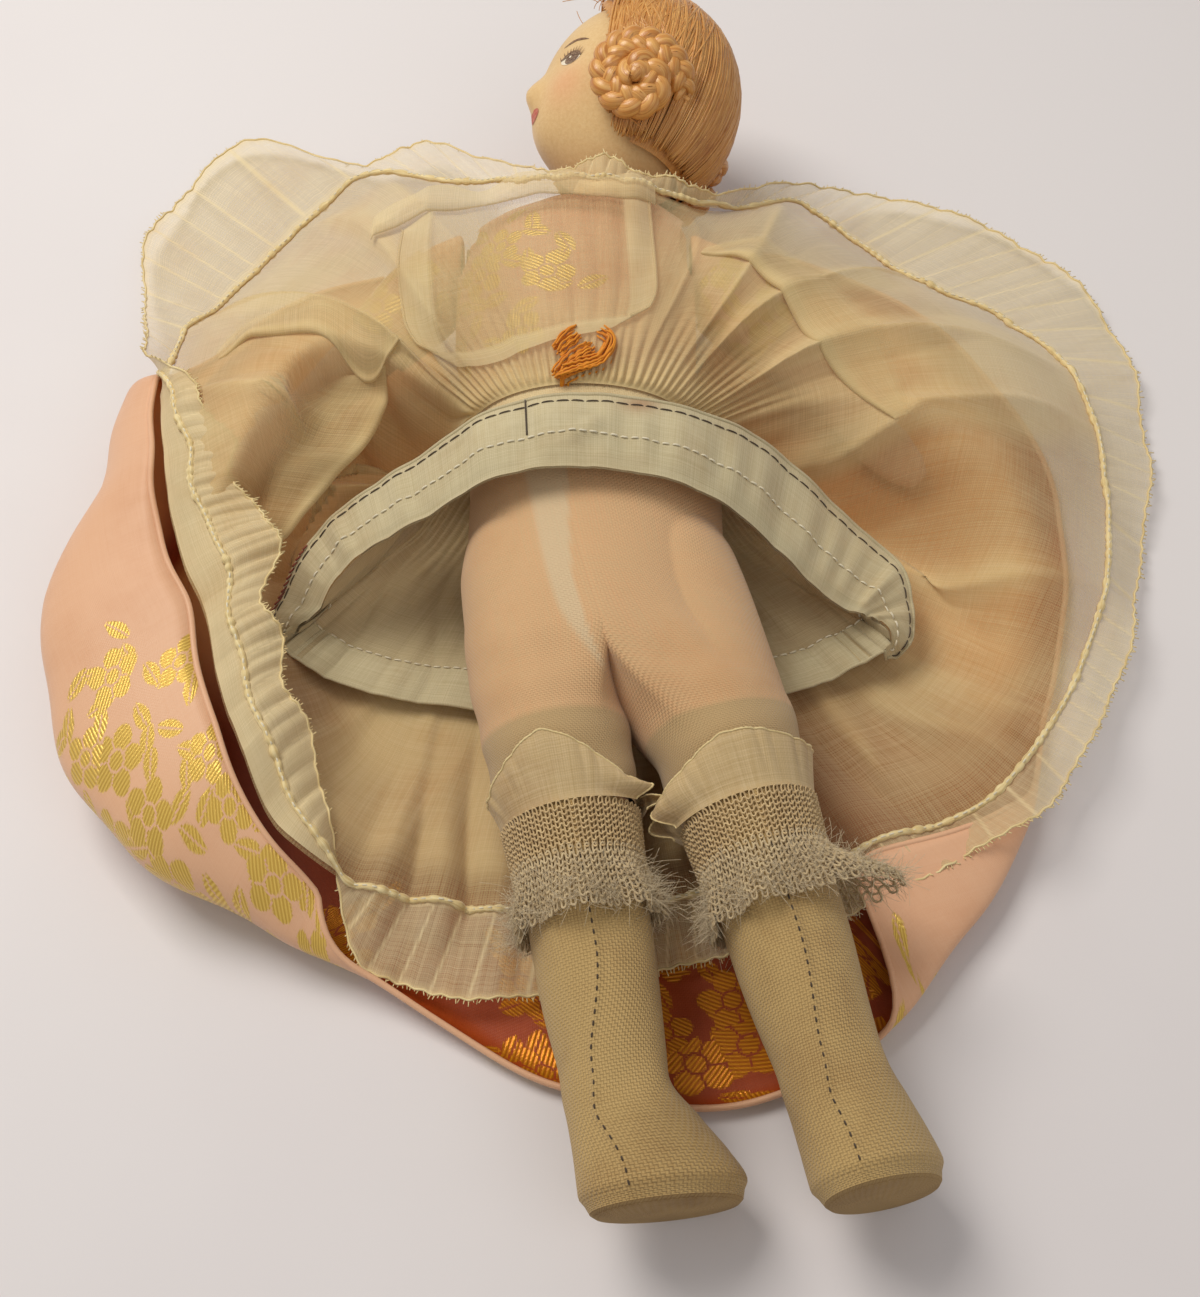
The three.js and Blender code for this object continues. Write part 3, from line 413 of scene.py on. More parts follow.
# %% Age: soft stains and fading
age, given, out = shader_group(
    "Age",
    [("Vector", "Place", None), ("Color", "Clean", None), ("Color", "Stained", None),
     ("Float", "Amount", 0.5), ("Float", "Size", 25.0)],
    [("Color", "Colour"), ("Float", "Stain")])
clouds = add(age, "TexNoise", given["Place"], None, given["Size"], 5.0, 0.62, normalize=True).outputs[0]
stain = calc("MULTIPLY", between(clouds, 0.42, 0.72), given["Amount"], clamp=True)
fill(out["Colour"], blended(stain, given["Clean"], given["Stained"]))
fill(out["Stain"], stain)
print("group:", age.name)

# %% Felt fibres and combed strands
felting, given, out = shader_group(
    "Felt fibres", [("Vector", "Place", None), ("Float", "Fineness", 900.0)],
    [("Float", "Height"), ("Float", "Tone")])
warped = add(felting, "TexNoise", given["Place"], None, given["Fineness"], 4.0, 0.7, 2.0, 1.2).outputs[0]
fill(out["Height"], warped)
fill(out["Tone"], between(warped, 0.3, 0.7, -0.5, 0.5))
combing, given, out = shader_group(
    "Combed strands", [("Vector", "Cloth place", None), ("Float", "Fineness", 3.0)],
    [("Float", "Height"), ("Float", "Tone")])
drawn = add(combing, "VectorMath", given["Cloth place"], (1.0, 0.05, 1.0), operation="MULTIPLY").outputs[0]
fine = add(combing, "TexNoise", drawn, None, given["Fineness"], 3.0, 0.7).outputs[0]
fill(out["Height"], fine)
fill(out["Tone"], between(fine, 0.3, 0.7, -0.5, 0.5))
print("groups:", felting.name, "and", combing.name)

# %% [markdown]
# ## Woven flowers
# The dress is a brocade: peach satin with bouquets of flowers in gold thread along its hem, whose loose
# ends float across the reverse. Drawn petal by petal they would take hundreds of nodes. Instead a
# Voronoi texture scatters them: each cell knows its own middle, from which petals are measured, and has
# a chance colour of its own, which sizes and turns them. A cell stays whole if its middle is in a bouquet.

# %% Scattered cells
brocade, given, out = shader_group(
    "Brocade sprays", [("Vector", "Cloth place", None)], [("Float", "Spray"), ("Float", "Float lines")])
BOUQUETS = 508.0, 624.0
stepped = add(brocade, "VectorMath", given["Cloth place"], (0.45, 0.45, 1.0), operation="SNAP").outputs[0]


def scattered(apart, seed, long, high):
    """Cells about apart mm wide: the way from the middle, chance values, and 1 inside a bouquet."""
    moved = add(brocade, "VectorMath", stepped, (seed, 2.7 * seed, 0), operation="ADD").outputs[0]
    cells = add(brocade, "TexVoronoi", voronoi_dimensions="2D")
    cells.inputs["Scale"].default_value, cells.inputs["Randomness"].default_value = 1 / apart, 0.8
    fill(cells.inputs["Vector"], moved)
    off = add(brocade, "VectorMath", moved, cells.outputs["Position"], operation="SUBTRACT").outputs[0]
    chance = add(brocade, "SeparateXYZ", cells.outputs["Color"]).outputs
    at = add(brocade, "SeparateXYZ", cells.outputs["Position"]).outputs
    from_each = [calc("ABSOLUTE", calc("SUBTRACT", at[0], bouquet + seed)) for bouquet in BOUQUETS]
    along = calc("DIVIDE", calc("MINIMUM", *from_each), long)
    above = calc("DIVIDE", calc("SUBTRACT", at[1], 2.0 + 2.7 * seed), high)
    reach = calc("MULTIPLY_ADD", along, along, calc("MULTIPLY", above, above))
    kept = calc("LESS_THAN", calc("MULTIPLY_ADD", chance[2], 0.7, reach), 1.2)
    return add(brocade, "SeparateXYZ", off).outputs, chance, kept


# %% Flowers, leaves and floats
def flowers(apart, seed, long, high):
    """Five petals with bare lines between them and a bare ring round the middle."""
    off, chance, kept = scattered(apart, seed, long, high)
    reach = calc("SQRT", calc("MULTIPLY_ADD", off[0], off[0], calc("MULTIPLY", off[1], off[1])))
    turn = calc(
        "MULTIPLY_ADD", calc("ARCTAN2", off[1], off[0]), 2.5, calc("MULTIPLY", chance[0], 2 * math.pi))
    lobes = calc("ABSOLUTE", calc("COSINE", turn))
    size = calc("MULTIPLY_ADD", chance[1], 0.13 * apart, 0.4 * apart)
    edge = calc("MULTIPLY", size, calc("MULTIPLY_ADD", lobes, 0.38, 0.62))
    whole = calc("MULTIPLY", between(calc("SUBTRACT", edge, reach), -0.2, 0.2), kept)
    ring = calc("ABSOLUTE", calc("MULTIPLY_ADD", size, -0.3, reach))
    veins = calc(
        "MAXIMUM", between(calc("MULTIPLY", lobes, reach), 0.3, 0.8), calc("LESS_THAN", reach, 0.12 * apart))
    drawn = calc("MULTIPLY", calc("MULTIPLY", between(ring, 0.1, 0.45), veins), whole)
    return whole, drawn, chance


def leaves(apart, seed, long, high):
    """Pointed leaves, each with a bare vein, that lie any way round."""
    off, chance, kept = scattered(apart, seed, long, high)
    way = calc("MULTIPLY", chance[0], 2 * math.pi)
    c, s = calc("COSINE", way), calc("SINE", way)
    run = calc("MULTIPLY_ADD", off[0], c, calc("MULTIPLY", off[1], s))
    aside = calc("ABSOLUTE", calc("SUBTRACT", calc("MULTIPLY", off[1], c), calc("MULTIPLY", off[0], s)))
    run = calc("DIVIDE", run, 0.55 * apart)
    reach = calc("MULTIPLY_ADD", run, run, calc("DIVIDE", aside, 0.25 * apart))
    drawn = calc("MULTIPLY", between(reach, 1.1, 0.9), between(aside, 0.1, 0.35))
    return calc("MULTIPLY", drawn, kept)


blossom, petals, chance = flowers(15.0, 0.0, 46.0, 24.0)
leaf = calc("MULTIPLY", leaves(8.0, 31.0, 52.0, 27.0), calc("SUBTRACT", 1.0, blossom))
fill(out["Spray"], calc("MAXIMUM", petals, leaf))
way = calc("MULTIPLY", chance[0], math.pi)
place = add(brocade, "SeparateXYZ", given["Cloth place"]).outputs
slant = calc("MULTIPLY_ADD", place[0], calc("COSINE", way), calc("MULTIPLY", place[1], calc("SINE", way)))
floats = calc("SINE", calc("MULTIPLY", slant, 2 * math.pi / 0.85))
fill(out["Float lines"], calc("MULTIPLY_ADD", floats, 0.5, 0.5))
print("brocade group of", len(brocade.nodes), "nodes")

# %% [markdown]
# ## Starting a finish
# Every finish is one Principled shader. What is the same all over is set on the shader's own sockets;
# colour, bump and sheerness come from the groups. Gauze is made sheer with Alpha: the threads and
# their slubs cover more, the gaps between them less, and a "closeness" value on the mesh closes it where
# the cloth is gathered or doubled.


# %% Finish helpers
def start_finish(name, **constants):
    material = bpy.data.materials.new(name)
    material.use_nodes = True
    tree = material.node_tree
    shader = tree.nodes["Principled BSDF"]
    for label, value in constants.items():
        shader.inputs[label.replace("_", " ")].default_value = value
    return material, shader.inputs, add(tree, "TexCoord").outputs


def bump(shader, height, strength, distance):
    node = add(height.id_data, "Bump", strength, distance / 1000)
    fill(node.inputs["Height"], height)
    fill(shader["Normal"], node.outputs["Normal"])


def weaving(coords, pitch, slub):
    return use(weave, Cloth_place=coords["UV"], Pitch=pitch, Slub=slub)


def ageing(coords, clean, stained, amount, size):
    return use(age, Place=coords["Object"], Clean=clean, Stained=stained, Amount=amount, Size=size)


def mesh_value(material, label):
    """A number that each point of a piece's mesh keeps for its finish."""
    return add(material.node_tree, "Attribute", attribute_name=label).outputs["Fac"]


def woven(name, clean, stained, pitch, slub, amount, size, strength, distance, light, **constants):
    """Opaque plain-woven cloth; light is the colour of its raised threads."""
    material, shader, coords = start_finish(name, **constants)
    threads = weaving(coords, pitch, slub)
    aged = ageing(coords, clean, stained, amount, size)
    raised = calc("MULTIPLY_ADD", threads["Height"], 0.55, threads["Slub tone"], clamp=True)
    fill(shader["Base Color"], blended(raised, aged["Colour"], light))
    bump(shader, threads["Height"], strength, distance)
    return material


def gauze(name, clean, stained, thin, thick, pitch=0.45, slub=0.35, amount=0.6, size=30.0):
    """Sheer cotton gauze; thin and thick are how much its gaps and threads cover."""
    material, shader, coords = start_finish(name, Roughness=0.92, Sheen_Weight=0.2, Sheen_Roughness=0.5)
    threads = weaving(coords, pitch, slub)
    aged = ageing(coords, clean, stained, amount, size)
    # A value on the mesh darkens the gauze towards brown: real soil in places, painted shade in others.
    soil_and_shade = mesh_value(material, "soil_and_shade")
    soiled_and_shaded = blended(soil_and_shade, aged["Colour"], tone(150, 98, 48))
    pale = tuple(mix(np.array(clean), 1.0, 0.4).tolist())
    lit = calc("MULTIPLY_ADD", threads["Slub tone"], 0.9, 0.12, clamp=True)
    fill(shader["Base Color"], blended(lit, soiled_and_shaded, pale))
    cover = calc(
        "ADD", calc("MULTIPLY_ADD", threads["Height"], thick - thin, thin), threads["Slub tone"], clamp=True)
    closeness = mesh_value(material, "closeness")
    closed = calc("MULTIPLY_ADD", closeness, calc("SUBTRACT", 1.0, cover), cover, clamp=True)
    fill(shader["Alpha"], closed)
    bump(shader, threads["Height"], 0.25, 0.12)
    return material


def set_values(obj, label, values):
    """Keep one number for each point of a piece's mesh, for its finish to read."""
    values = np.asarray(values, np.float32).ravel()
    obj.data.attributes.new(label, "FLOAT", "POINT").data.foreach_set("value", values)


print("finish helpers ready")

# %% [markdown]
# ## The trunk
# The trunk is a stuffed cotton body. It shows only through gauze, as a warm peach form, so a remeshed
# and eased copy of its solid is enough. The same goes for the hidden arms and the neck. A hand-made
# loft would give no more here; the copy also keeps the pockets of the disc joints.

# %% Body cloth and felt
body_cotton = woven(
    "body_cotton", tone(228, 178, 142), tone(214, 150, 104), 0.55, 0.4, 0.5, 28, 0.4, 0.15,
    tone(238, 200, 168), Roughness=0.85)


def felted(name, clean, stained, amount, fineness=850.0):
    material, shader, coords = start_finish(name, Roughness=0.95, Sheen_Weight=0.35, Sheen_Roughness=0.45)
    fibres = use(felting, Place=coords["Object"], Fineness=fineness)
    aged = ageing(coords, clean, stained, amount, 40)
    shade = calc("MULTIPLY_ADD", fibres["Tone"], 0.5, 0.25, clamp=True)
    fill(shader["Base Color"], blended(shade, aged["Colour"], stained))
    bump(shader, fibres["Height"], 0.35, 0.35)
    return material


limb_felt = felted("limb_felt", tone(240, 190, 150), tone(226, 168, 124), 0.5)
trunk = stuffed("torso", "stuffed_trunk", 1.3, 6, body_cotton, "trunk")
for side in sides:
    stuffed(f"{side}_arm", f"{side}_felt_arm", 0.8, 4, limb_felt, f"{side}_arm")

# %% The trunk's sections
trunk_stations = np.array([
    (14, 0, 0, 20, 15.5), (20, 0, 0, 26.5, 18.5), (30, -1, 0, 28.5, 19.5), (40, -2.4, 0, 26.4, 18.75),
    (48, -4, 0, 25, 18), (60.1, -5, -0.5, 26.6, 18.75), (75.7, -6, -1, 29.5, 20), (92, -6, -1, 31.5, 20.5),
    (104.1, -5, 0, 31, 19), (111.9, -3, 1.5, 25.5, 14.5), (116.9, -1, 2, 18, 11.5), (122, 0, 2, 12, 10)])


def trunk_section(y):
    """Middle across, lift, half width and half depth of the trunk at places along it."""
    return curves(trunk_stations[:, 0], trunk_stations[:, 1:], y)


def trunk_surface(y, degrees, grow):
    x, lift, wide, deep = (part[:, None] for part in trunk_section(y))
    angle = np.radians(degrees)[None]
    return joined(x + (wide + grow) * np.cos(angle), y[:, None], LIE + lift + (deep + grow) * np.sin(angle))


print("trunk from", trunk_stations[0, 0], "to", trunk_stations[-1, 0], "mm along the body")

# %% [markdown]
# ## Bodice, waistband and sleeves
# The bodice is of the same peach brocade as the skirt, small and tight, with its gold sprays showing
# as warm spots through the gauze. It is a fine shell over the trunk with a round opening for each arm.


# %% Brocade finish
def brocade_finish(name, ground, shade, glow, gold, lines, faded_and_lit_ground, **constants):
    """Brocade in two colours, with a second ground that a value on the mesh mixes in: faded cloth in some
    places, painted light in others.
    """
    material, shader, coords = start_finish(name, **constants)
    spray = use(brocade, Cloth_place=coords["UV"])
    threads = weaving(coords, 0.4, 0.35)
    aged = ageing(coords, ground, shade, 0.7, 26)
    lined = blended(calc("MULTIPLY", spray["Float lines"], 0.7), gold, lines)
    fade_and_painted_light = mesh_value(material, "fade_and_painted_light")
    satin = blended(calc("ADD", threads["Slub tone"], 0.12, clamp=True), aged["Colour"], glow)
    satin = blended(fade_and_painted_light, satin, faded_and_lit_ground)
    fill(shader["Base Color"], blended(spray["Spray"], satin, lined))
    fill(shader["Roughness"], between(spray["Spray"], 0, 1, 0.5, 0.36))
    fill(shader["Metallic"], between(spray["Spray"], 0, 1, 0.0, 0.4))
    raised = calc("MULTIPLY_ADD", spray["Spray"], 2.2, calc("MULTIPLY", spray["Float lines"], spray["Spray"]))
    bump(shader, calc("MULTIPLY_ADD", threads["Height"], 0.25, raised), 0.5, 0.18)
    return material


peach_brocade = brocade_finish(
    "peach_brocade", tone(225, 174, 135), tone(209, 150, 108), tone(238, 200, 166), tone(236, 200, 98),
    tone(190, 142, 48), tone(225, 174, 135), Sheen_Weight=0.15, Anisotropic=0.3)

# %% Bodice
CHEST_X, SHOULDER_Y, ARMHOLE = -6, 102, 12.6  # the chest's middle, the shoulders and an armhole's radius
HALF_CHEST, FLANK = 29.8, 19  # half of the bodice's width, and where its sides begin
columns = np.linspace(0, 360, 161)[:-1]
rows = np.linspace(52, 114, 60)
shell = trunk_surface(rows, columns, 1.3 + 0.25 * ripple(np.radians(columns), (7, 12), 3)[None])
shell[..., 0] = np.clip(shell[..., 0], CHEST_X - HALF_CHEST, CHEST_X + HALF_CHEST)


def off_armholes(middle):
    reach = np.hypot(middle[:, 1] - SHOULDER_Y, middle[:, 2] - LIE)
    return (np.abs(middle[:, 0] - CHEST_X) < FLANK) | (reach > ARMHOLE)


bodice = grid_piece(
    "brocade_bodice", shell, peach_brocade, "trunk", np.radians(np.linspace(0, 360, 161))[None] * 30 + 420,
    rows[:, None] - 80, True, off_armholes, flip=True)
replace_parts(bodice, "bodice")
print("bodice faces:", len(bodice.data.polygons))

# %% Waistband
waist_tape = woven(
    "waist_tape", tone(212, 188, 138), tone(186, 150, 98), 0.5, 0.4, 0.6, 60, 0.5, 0.15, tone(228, 210, 168),
    Roughness=0.9)
columns = np.linspace(0, 360, 241)
profile = np.array([(43.7, 0.6), (43.5, 1.4), (44.2, 1.9), (47.2, 2.1), (50.4, 1.9), (51, 1.4), (50.8, 0.6)])
gather = 0.16 * pleats(np.radians(columns[:-1]), 90, 5)
ring = trunk_surface(profile[:, 0], columns[:-1], profile[:, 1][:, None] + gather[None])
ring[..., 1] = profile[:, 0][:, None]
waistband = grid_piece(
    "waistband_tape", ring, waist_tape, "trunk", np.radians(columns)[None] * 24, profile[:, 0][:, None], True,
    flip=True)
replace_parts(waistband, "waistband")

# %% Sleeves
SLEEVE = 3, 27  # from its head to its hem, along the arm
arm_stations = np.array([(-8, 6, 6), (0, 8.74, 9.2), (10, 9.2, 9.2), (24, 8.25, 8.25), (38, 7.3, 7.3)])
for side, sign in sides.items():
    aim = unit(np.array((0.72 * sign, -0.62, -0.31)))
    across = unit(np.cross((0, 0, 1), aim))
    lift = np.cross(aim, across)
    shoulder = np.array((CHEST_X + sign * 28.8 + sign * 3, SHOULDER_Y, LIE))
    run, angle = np.linspace(*SLEEVE, 26), np.radians(np.linspace(0, 360, 97))
    puff = (
        1.3 + 0.5 * np.sin(np.pi * (run - SLEEVE[0]) / np.ptp(SLEEVE))[:, None]
        * (0.6 + 0.4 * pleats(angle[:-1], 18, 11))[None])
    wide = (curve(arm_stations[:, 0], arm_stations[:, 1], run)[:, None] + puff)[..., None]
    sleeve = (
        shoulder + run[:, None, None] * aim + wide * np.cos(angle[:-1])[None, :, None] * across
        + wide * np.sin(angle[:-1])[None, :, None] * lift)
    outside = sign * (shoulder[0] - sign * 0.5)
    piece = grid_piece(
        f"{side}_brocade_sleeve", sleeve, peach_brocade, f"{side}_arm", angle[None] * 9 + 490,
        run[:, None] - 15, True, lambda middle: sign * middle[:, 0] > outside)
    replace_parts(piece, f"{side}_sleeve")
    print(piece.name, "of", len(piece.data.polygons), "faces")

# %% [markdown]
# ## The legs
# Each leg is a straight stuffed felt tube whose foot turns outwards. Everything on it, such as
# drawers, stocking and lace, is a layer over the same sections, so one function gives the leg's
# surface at any distance from the hip, grown by the thickness of what lies under the layer.

# %% Leg sections
leg_stations = np.array([
    (-16.5, 5.5, 5.3, 0, 0), (-13.05, 10.5, 11.2, 0, 0), (-6.96, 13.2, 15.5, 0, 0), (0, 14.8, 16.4, 0, 0),
    (14.4, 15.4, 16, 0, 0), (31.2, 15.4, 15.6, 0, 0), (48, 14.7, 14.7, 0, 0), (61.2, 13.05, 13.05, 0, 0),
    (76.6, 11.9, 11.9, 0, 0), (92, 11.4, 11.4, 0, 0), (117, 9.7, 9.7, 0, 0.6), (126.2, 10.5, 13.2, 3.2, 1),
    (133.1, 11.06, 16.7, 6.4, 1), (138.2, 11.3, 18.5, 8, 1), (140, 10.3, 17.5, 8, 1)])
leg_lie = {"left": (9.7, 2.4, 50), "right": (14.6, 0.8, 28)}


def leg_axes(side):
    splay, droop, _ = np.radians(leg_lie[side])
    sign = sides[side]
    aim = np.array((math.sin(splay) * math.cos(droop), -math.cos(splay) * math.cos(droop), -math.sin(droop)))
    across = np.array((math.cos(splay), math.sin(splay), 0.0))
    return np.array((sign * 16.5, HIP_Y, LIE)), aim, across


def leg_point(side, run, angle, grow):
    """Points on the leg; angle is 0 across it and a quarter turn is its back, which is up."""
    run, angle, grow = np.broadcast_arrays(*(np.asarray(part, float) for part in (run, angle, grow)))
    top, aim, across = leg_axes(side)
    wide, deep, ahead, turn = curves(leg_stations[:, 0], leg_stations[:, 1:], run)
    turn = (turn * np.radians(leg_lie[side][2]))[..., None]
    down = np.cross(across, aim)
    toes = np.cos(turn) * down + np.sin(turn) * np.cross(aim, down)
    flank = np.cos(turn) * across + np.sin(turn) * np.cross(aim, across)
    middle = top + run[..., None] * aim + ahead[..., None] * toes
    wide, deep = (wide + grow) * np.cos(angle), (deep + grow) * np.sin(angle)
    return middle + wide[..., None] * flank - deep[..., None] * toes


def leg_surface(side, run, angle, grow):
    return leg_point(side, run[:, None], angle[None], grow)


def leg_spots(side, run, angle, grow):
    """Points on the leg and the way out at each."""
    spots = leg_point(side, run, angle, grow)
    return spots, unit(leg_point(side, run, angle, grow + 1) - spots)


for side in sides:
    stuffed(f"{side}_leg", f"{side}_felt_leg", 1.0, 6, limb_felt, f"{side}_leg")

# %% [markdown]
# ## Stockings
# The stockings are khaki cotton cut flat and sewn up the back, so each has a ridge with a row of dark
# stitches from the lace to the heel, and a flat sole. The weave is coarse enough to see. One loft makes
# the leg down to the sole's edge. The sole, worn darker, is a second grid from that edge to its middle.

# %% Stocking cotton
stocking_cotton = woven(
    "stocking_cotton", tone(180, 147, 90), tone(144, 106, 56), 0.62, 0.5, 0.75, 42, 0.8, 0.22,
    tone(204, 175, 118), Roughness=0.88, Sheen_Weight=0.15)
sole_cotton = woven(
    "sole_cotton", tone(152, 122, 76), tone(114, 82, 46), 0.7, 0.5, 0.8, 60, 0.6, 0.2, tone(172, 144, 98),
    Roughness=0.95)


def thread_finish(name, colour, shade):
    material, shader, coords = start_finish(name, Roughness=0.7, Sheen_Weight=0.2)
    strands = use(combing, Cloth_place=coords["UV"], Fineness=2.5)
    tint = calc("ADD", strands["Tone"], 0.5, clamp=True)
    fill(shader["Base Color"], blended(tint, shade, colour))
    bump(shader, strands["Height"], 0.3, 0.1)
    return material


dark_thread = thread_finish("dark_thread", tone(84, 64, 40), tone(50, 38, 24))
white_thread = thread_finish("white_thread", tone(240, 232, 208), tone(212, 200, 168))
edge_thread = thread_finish("edge_thread", tone(240, 222, 170), tone(208, 180, 118))

# %% Stockings with their seams
SEAM = math.pi / 2
STOCKING_TOP, ANKLE, SOLE = 60.6, 118, 140.0  # along the leg
seam_veer = {"left": 0.62, "right": 0.25}


def seam_turn(side, run):
    """How far the back seam has turned with the foot."""
    return seam_veer[side] * smooth(110, 137, run)


for side in sides:
    body = f"{side}_leg"
    angle = SEAM + np.linspace(-math.pi, math.pi, 121)
    run = np.concatenate([np.linspace(STOCKING_TOP, ANKLE, 58), np.linspace(ANKLE, SOLE, 34)[1:]])
    veer = seam_turn(side, run)[:, None]
    ridge = np.exp(-((angle[:-1] - SEAM) * 11 / 0.75) ** 2) * 0.5
    crease = np.exp(-((run - ANKLE - 1) / 4) ** 2)[:, None] * 0.5 * ripple(angle[:-1], (2, 3, 5), 21)[None]
    slack = 0.25 * ripple(angle[:-1], (2, 3, 4), 7)[None] * np.sin(run / 6)[:, None]
    skin = leg_point(side, run[:, None], angle[None, :-1] - veer, 1.3 + ridge[None] + crease + slack)
    sole = leg_surface(side, np.full(5, SOLE), angle[:-1] - seam_veer[side], 0.8)
    aim = leg_axes(side)[1]
    heart = sole[0].mean(axis=0) + aim * 2.8
    share = np.array((0.0, 0.06, 0.2, 0.6, 0.995))[:, None, None]
    sole = mix(sole + aim * 2.4, heart, share) + aim * np.array((-0.6, 0.1, 0.3, 0.35, 0.35))[:, None, None]
    stocking = grid_piece(
        f"{side}_cotton_stocking", np.concatenate([skin, sole[:1]]), stocking_cotton, body,
        angle[None] * 11.5, np.append(run, 143)[:, None], True)
    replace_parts(stocking, f"{side}_stocking")
    grid_piece(
        f"{side}_stocking_sole", sole, sole_cotton, body, angle[None] * 12 * (1 - share[..., 0]),
        share[..., 0] * 14, True)
    line_run = np.linspace(72, 139.5, 160)
    line_angle = SEAM - seam_turn(side, line_run)
    line, outward = leg_spots(side, line_run, line_angle, 1.75)
    stitches(f"{side}_seam_stitches", line, outward, 2.3, 1.0, 0.2, dark_thread, body, 0.0, "stocking_cotton")

# %% [markdown]
# ## Drawers
# The drawers are gauze over the peach felt, in two halves that meet at a seam down the middle of the
# back. Each half crosses its hip, so it is a loft from half of the trunk's section to the leg's own, and
# it bends between the trunk and the leg. The gauze lies so close that the felt's
# colour is mixed in under its threads; a gusset strip and a deep hem at the knee are double cloth.

# %% Drawers gauze
drawers_gauze, shader, coords = start_finish(
    "drawers_gauze", Roughness=0.9, Sheen_Weight=0.25, Sheen_Roughness=0.5)
threads = weaving(coords, 0.46, 0.4)
felt_under = ageing(coords, tone(222, 171, 123), tone(206, 145, 94), 0.7, 24.0)
cover = calc(
    "MULTIPLY_ADD", threads["Height"], 0.35, calc("MULTIPLY_ADD", threads["Slub tone"], 1.4, 0.12),
    clamp=True)
sheer = blended(cover, felt_under["Colour"], tone(200, 178, 132))
gusseted = blended(mesh_value(drawers_gauze, "closeness"), sheer, tone(214, 196, 160))
hemmed = blended(mesh_value(drawers_gauze, "soil_and_shade"), gusseted, tone(178, 152, 106))
fill(shader["Base Color"], hemmed)
bump(shader, threads["Height"], 0.6, 0.18)
SEAM_TO_HEART, TUCK = 13.5, 2.2  # from the seam to the middle of a half, and how far that runs past the seam
SEAT_SEAM = np.array([(-14, 0.6), (-5, -2.0), (10, -5.5), (30, -8.5), (43, -9.0)])


def half_seat(sign, y, angle, grow):
    """Half of the trunk's section, cut a little past the seam, about a point inside it."""
    x, lift, wide, deep = trunk_section(np.maximum(y, 30.0))
    seam = curve(*SEAT_SEAM.T, y)
    heart = seam + sign * SEAM_TO_HEART
    ax, az = np.cos(angle)[None], np.sin(angle)[None]
    wide, deep = (wide + grow)[:, None], (deep + grow)[:, None]
    off = (heart - x)[:, None]
    a = (ax / wide) ** 2 + (az / deep) ** 2
    b = off * ax / wide**2
    c = (off / wide) ** 2 - 1
    reach = (-b + np.sqrt(np.maximum(b * b - a * c, 0))) / a
    past = np.where(sign * ax < -1e-6, (SEAM_TO_HEART + TUCK) / np.maximum(-sign * ax, 1e-6), 1e9)
    reach = np.minimum(reach, past)
    across = heart[:, None] + reach * ax
    tucked = 0.3 * np.maximum(-sign * (across - seam[:, None]), 0) * (az > 0)
    return joined(across, y[:, None], LIE + lift[:, None] + reach * az - tucked)


def clear_of_leg(side, points, grow):
    """Points pushed out of the felt leg, square to it, wherever they lie inside it."""
    top, aim, across = leg_axes(side)
    local = points - top
    run = local @ aim
    level, lift = local @ across, -local @ np.cross(across, aim)
    wide, deep = (part + grow for part in curves(leg_stations[:, 0], leg_stations[:, 1:3], run))
    inside = np.hypot(level / wide, lift / deep)
    push = np.where((inside < 1) & (run > -15), 1 / np.maximum(inside, 0.3) - 1, 0)[..., None]
    return points + push * (local - run[..., None] * aim)


# %% Drawers
CROTCH = 14.0  # along the leg, where its own section starts to count
GUSSET_FOOT = 672, 660  # rows of the picture over which the gusset fades out
for side, sign in sides.items():
    top, aim, across = leg_axes(side)
    angle = np.linspace(-math.pi, math.pi, 161) + (0 if sign < 0 else math.pi)
    y = np.concatenate([np.linspace(42.6, -16, 70), np.linspace(-16, -50.6, 42)[1:]])
    run = (y - HIP_Y) / aim[1]
    slack = (
        0.3 * ripple(angle[:-1], (2, 3, 5), 13)[None]
        + 0.22 * np.sin(0.55 * y[:, None] + 3 * np.sin(angle[:-1])[None]))
    give = 1.35 + slack * smooth(34, -4, y)[:, None]
    leg_part = leg_surface(side, np.maximum(run, CROTCH), angle[:-1], give)
    leg_part = leg_part + np.minimum(run - CROTCH, 0)[:, None, None] * aim
    seat_part = half_seat(sign, y, angle[:-1], 1.3)
    inner = smooth(0.0, 0.6, -sign * np.cos(angle[:-1]))[None]
    to_leg = mix(smooth(2, -30, y)[:, None], smooth(-11, -36, y)[:, None], inner)
    cloth = mix(seat_part, leg_part, to_leg[..., None])
    cloth = mix(clear_of_leg(side, cloth, 0.9), cloth, inner[..., None])
    piece = grid_piece(
        f"{side}_gauze_drawers", cloth, drawers_gauze, None, angle[None] * 16, y[:, None], True)
    hem = smooth(40.3, 41.0, run)[:, None] * np.ones_like(angle[:-1])[None]
    column, row = in_picture(cloth)
    from_left = column - curve((470, 600, 665), (524, 556, 601), row)
    from_right = curve((470, 560, 640, 668), (567, 571, 593, 607), row) - column
    gusset = smooth(-4, 4, from_left) * smooth(-2, 2, from_right) * smooth(*GUSSET_FOOT, row)
    gusset = gusset * (cloth[..., 2] > LIE + 1)
    set_values(piece, "closeness", 0.6 * gusset)
    set_values(piece, "soil_and_shade", 0.78 * hem)
    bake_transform(piece)
    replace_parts(piece, f"{side}_drawers_leg")
    if sign < 0:
        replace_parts(piece, "drawers_seat")
    print(piece.name, "of", len(piece.data.polygons), "faces")

# %% [markdown]
# ## Gauze flaps at the knee
# The hem of each drawers leg ends in a flap of gauze that is turned up over the knee. Its free edge is
# overcast and rises behind, and it gapes on the inner side of the leg, where its two ends stand away. A
# strip that almost goes round, with its ends bent out and a thin cord along its edge, gives that.

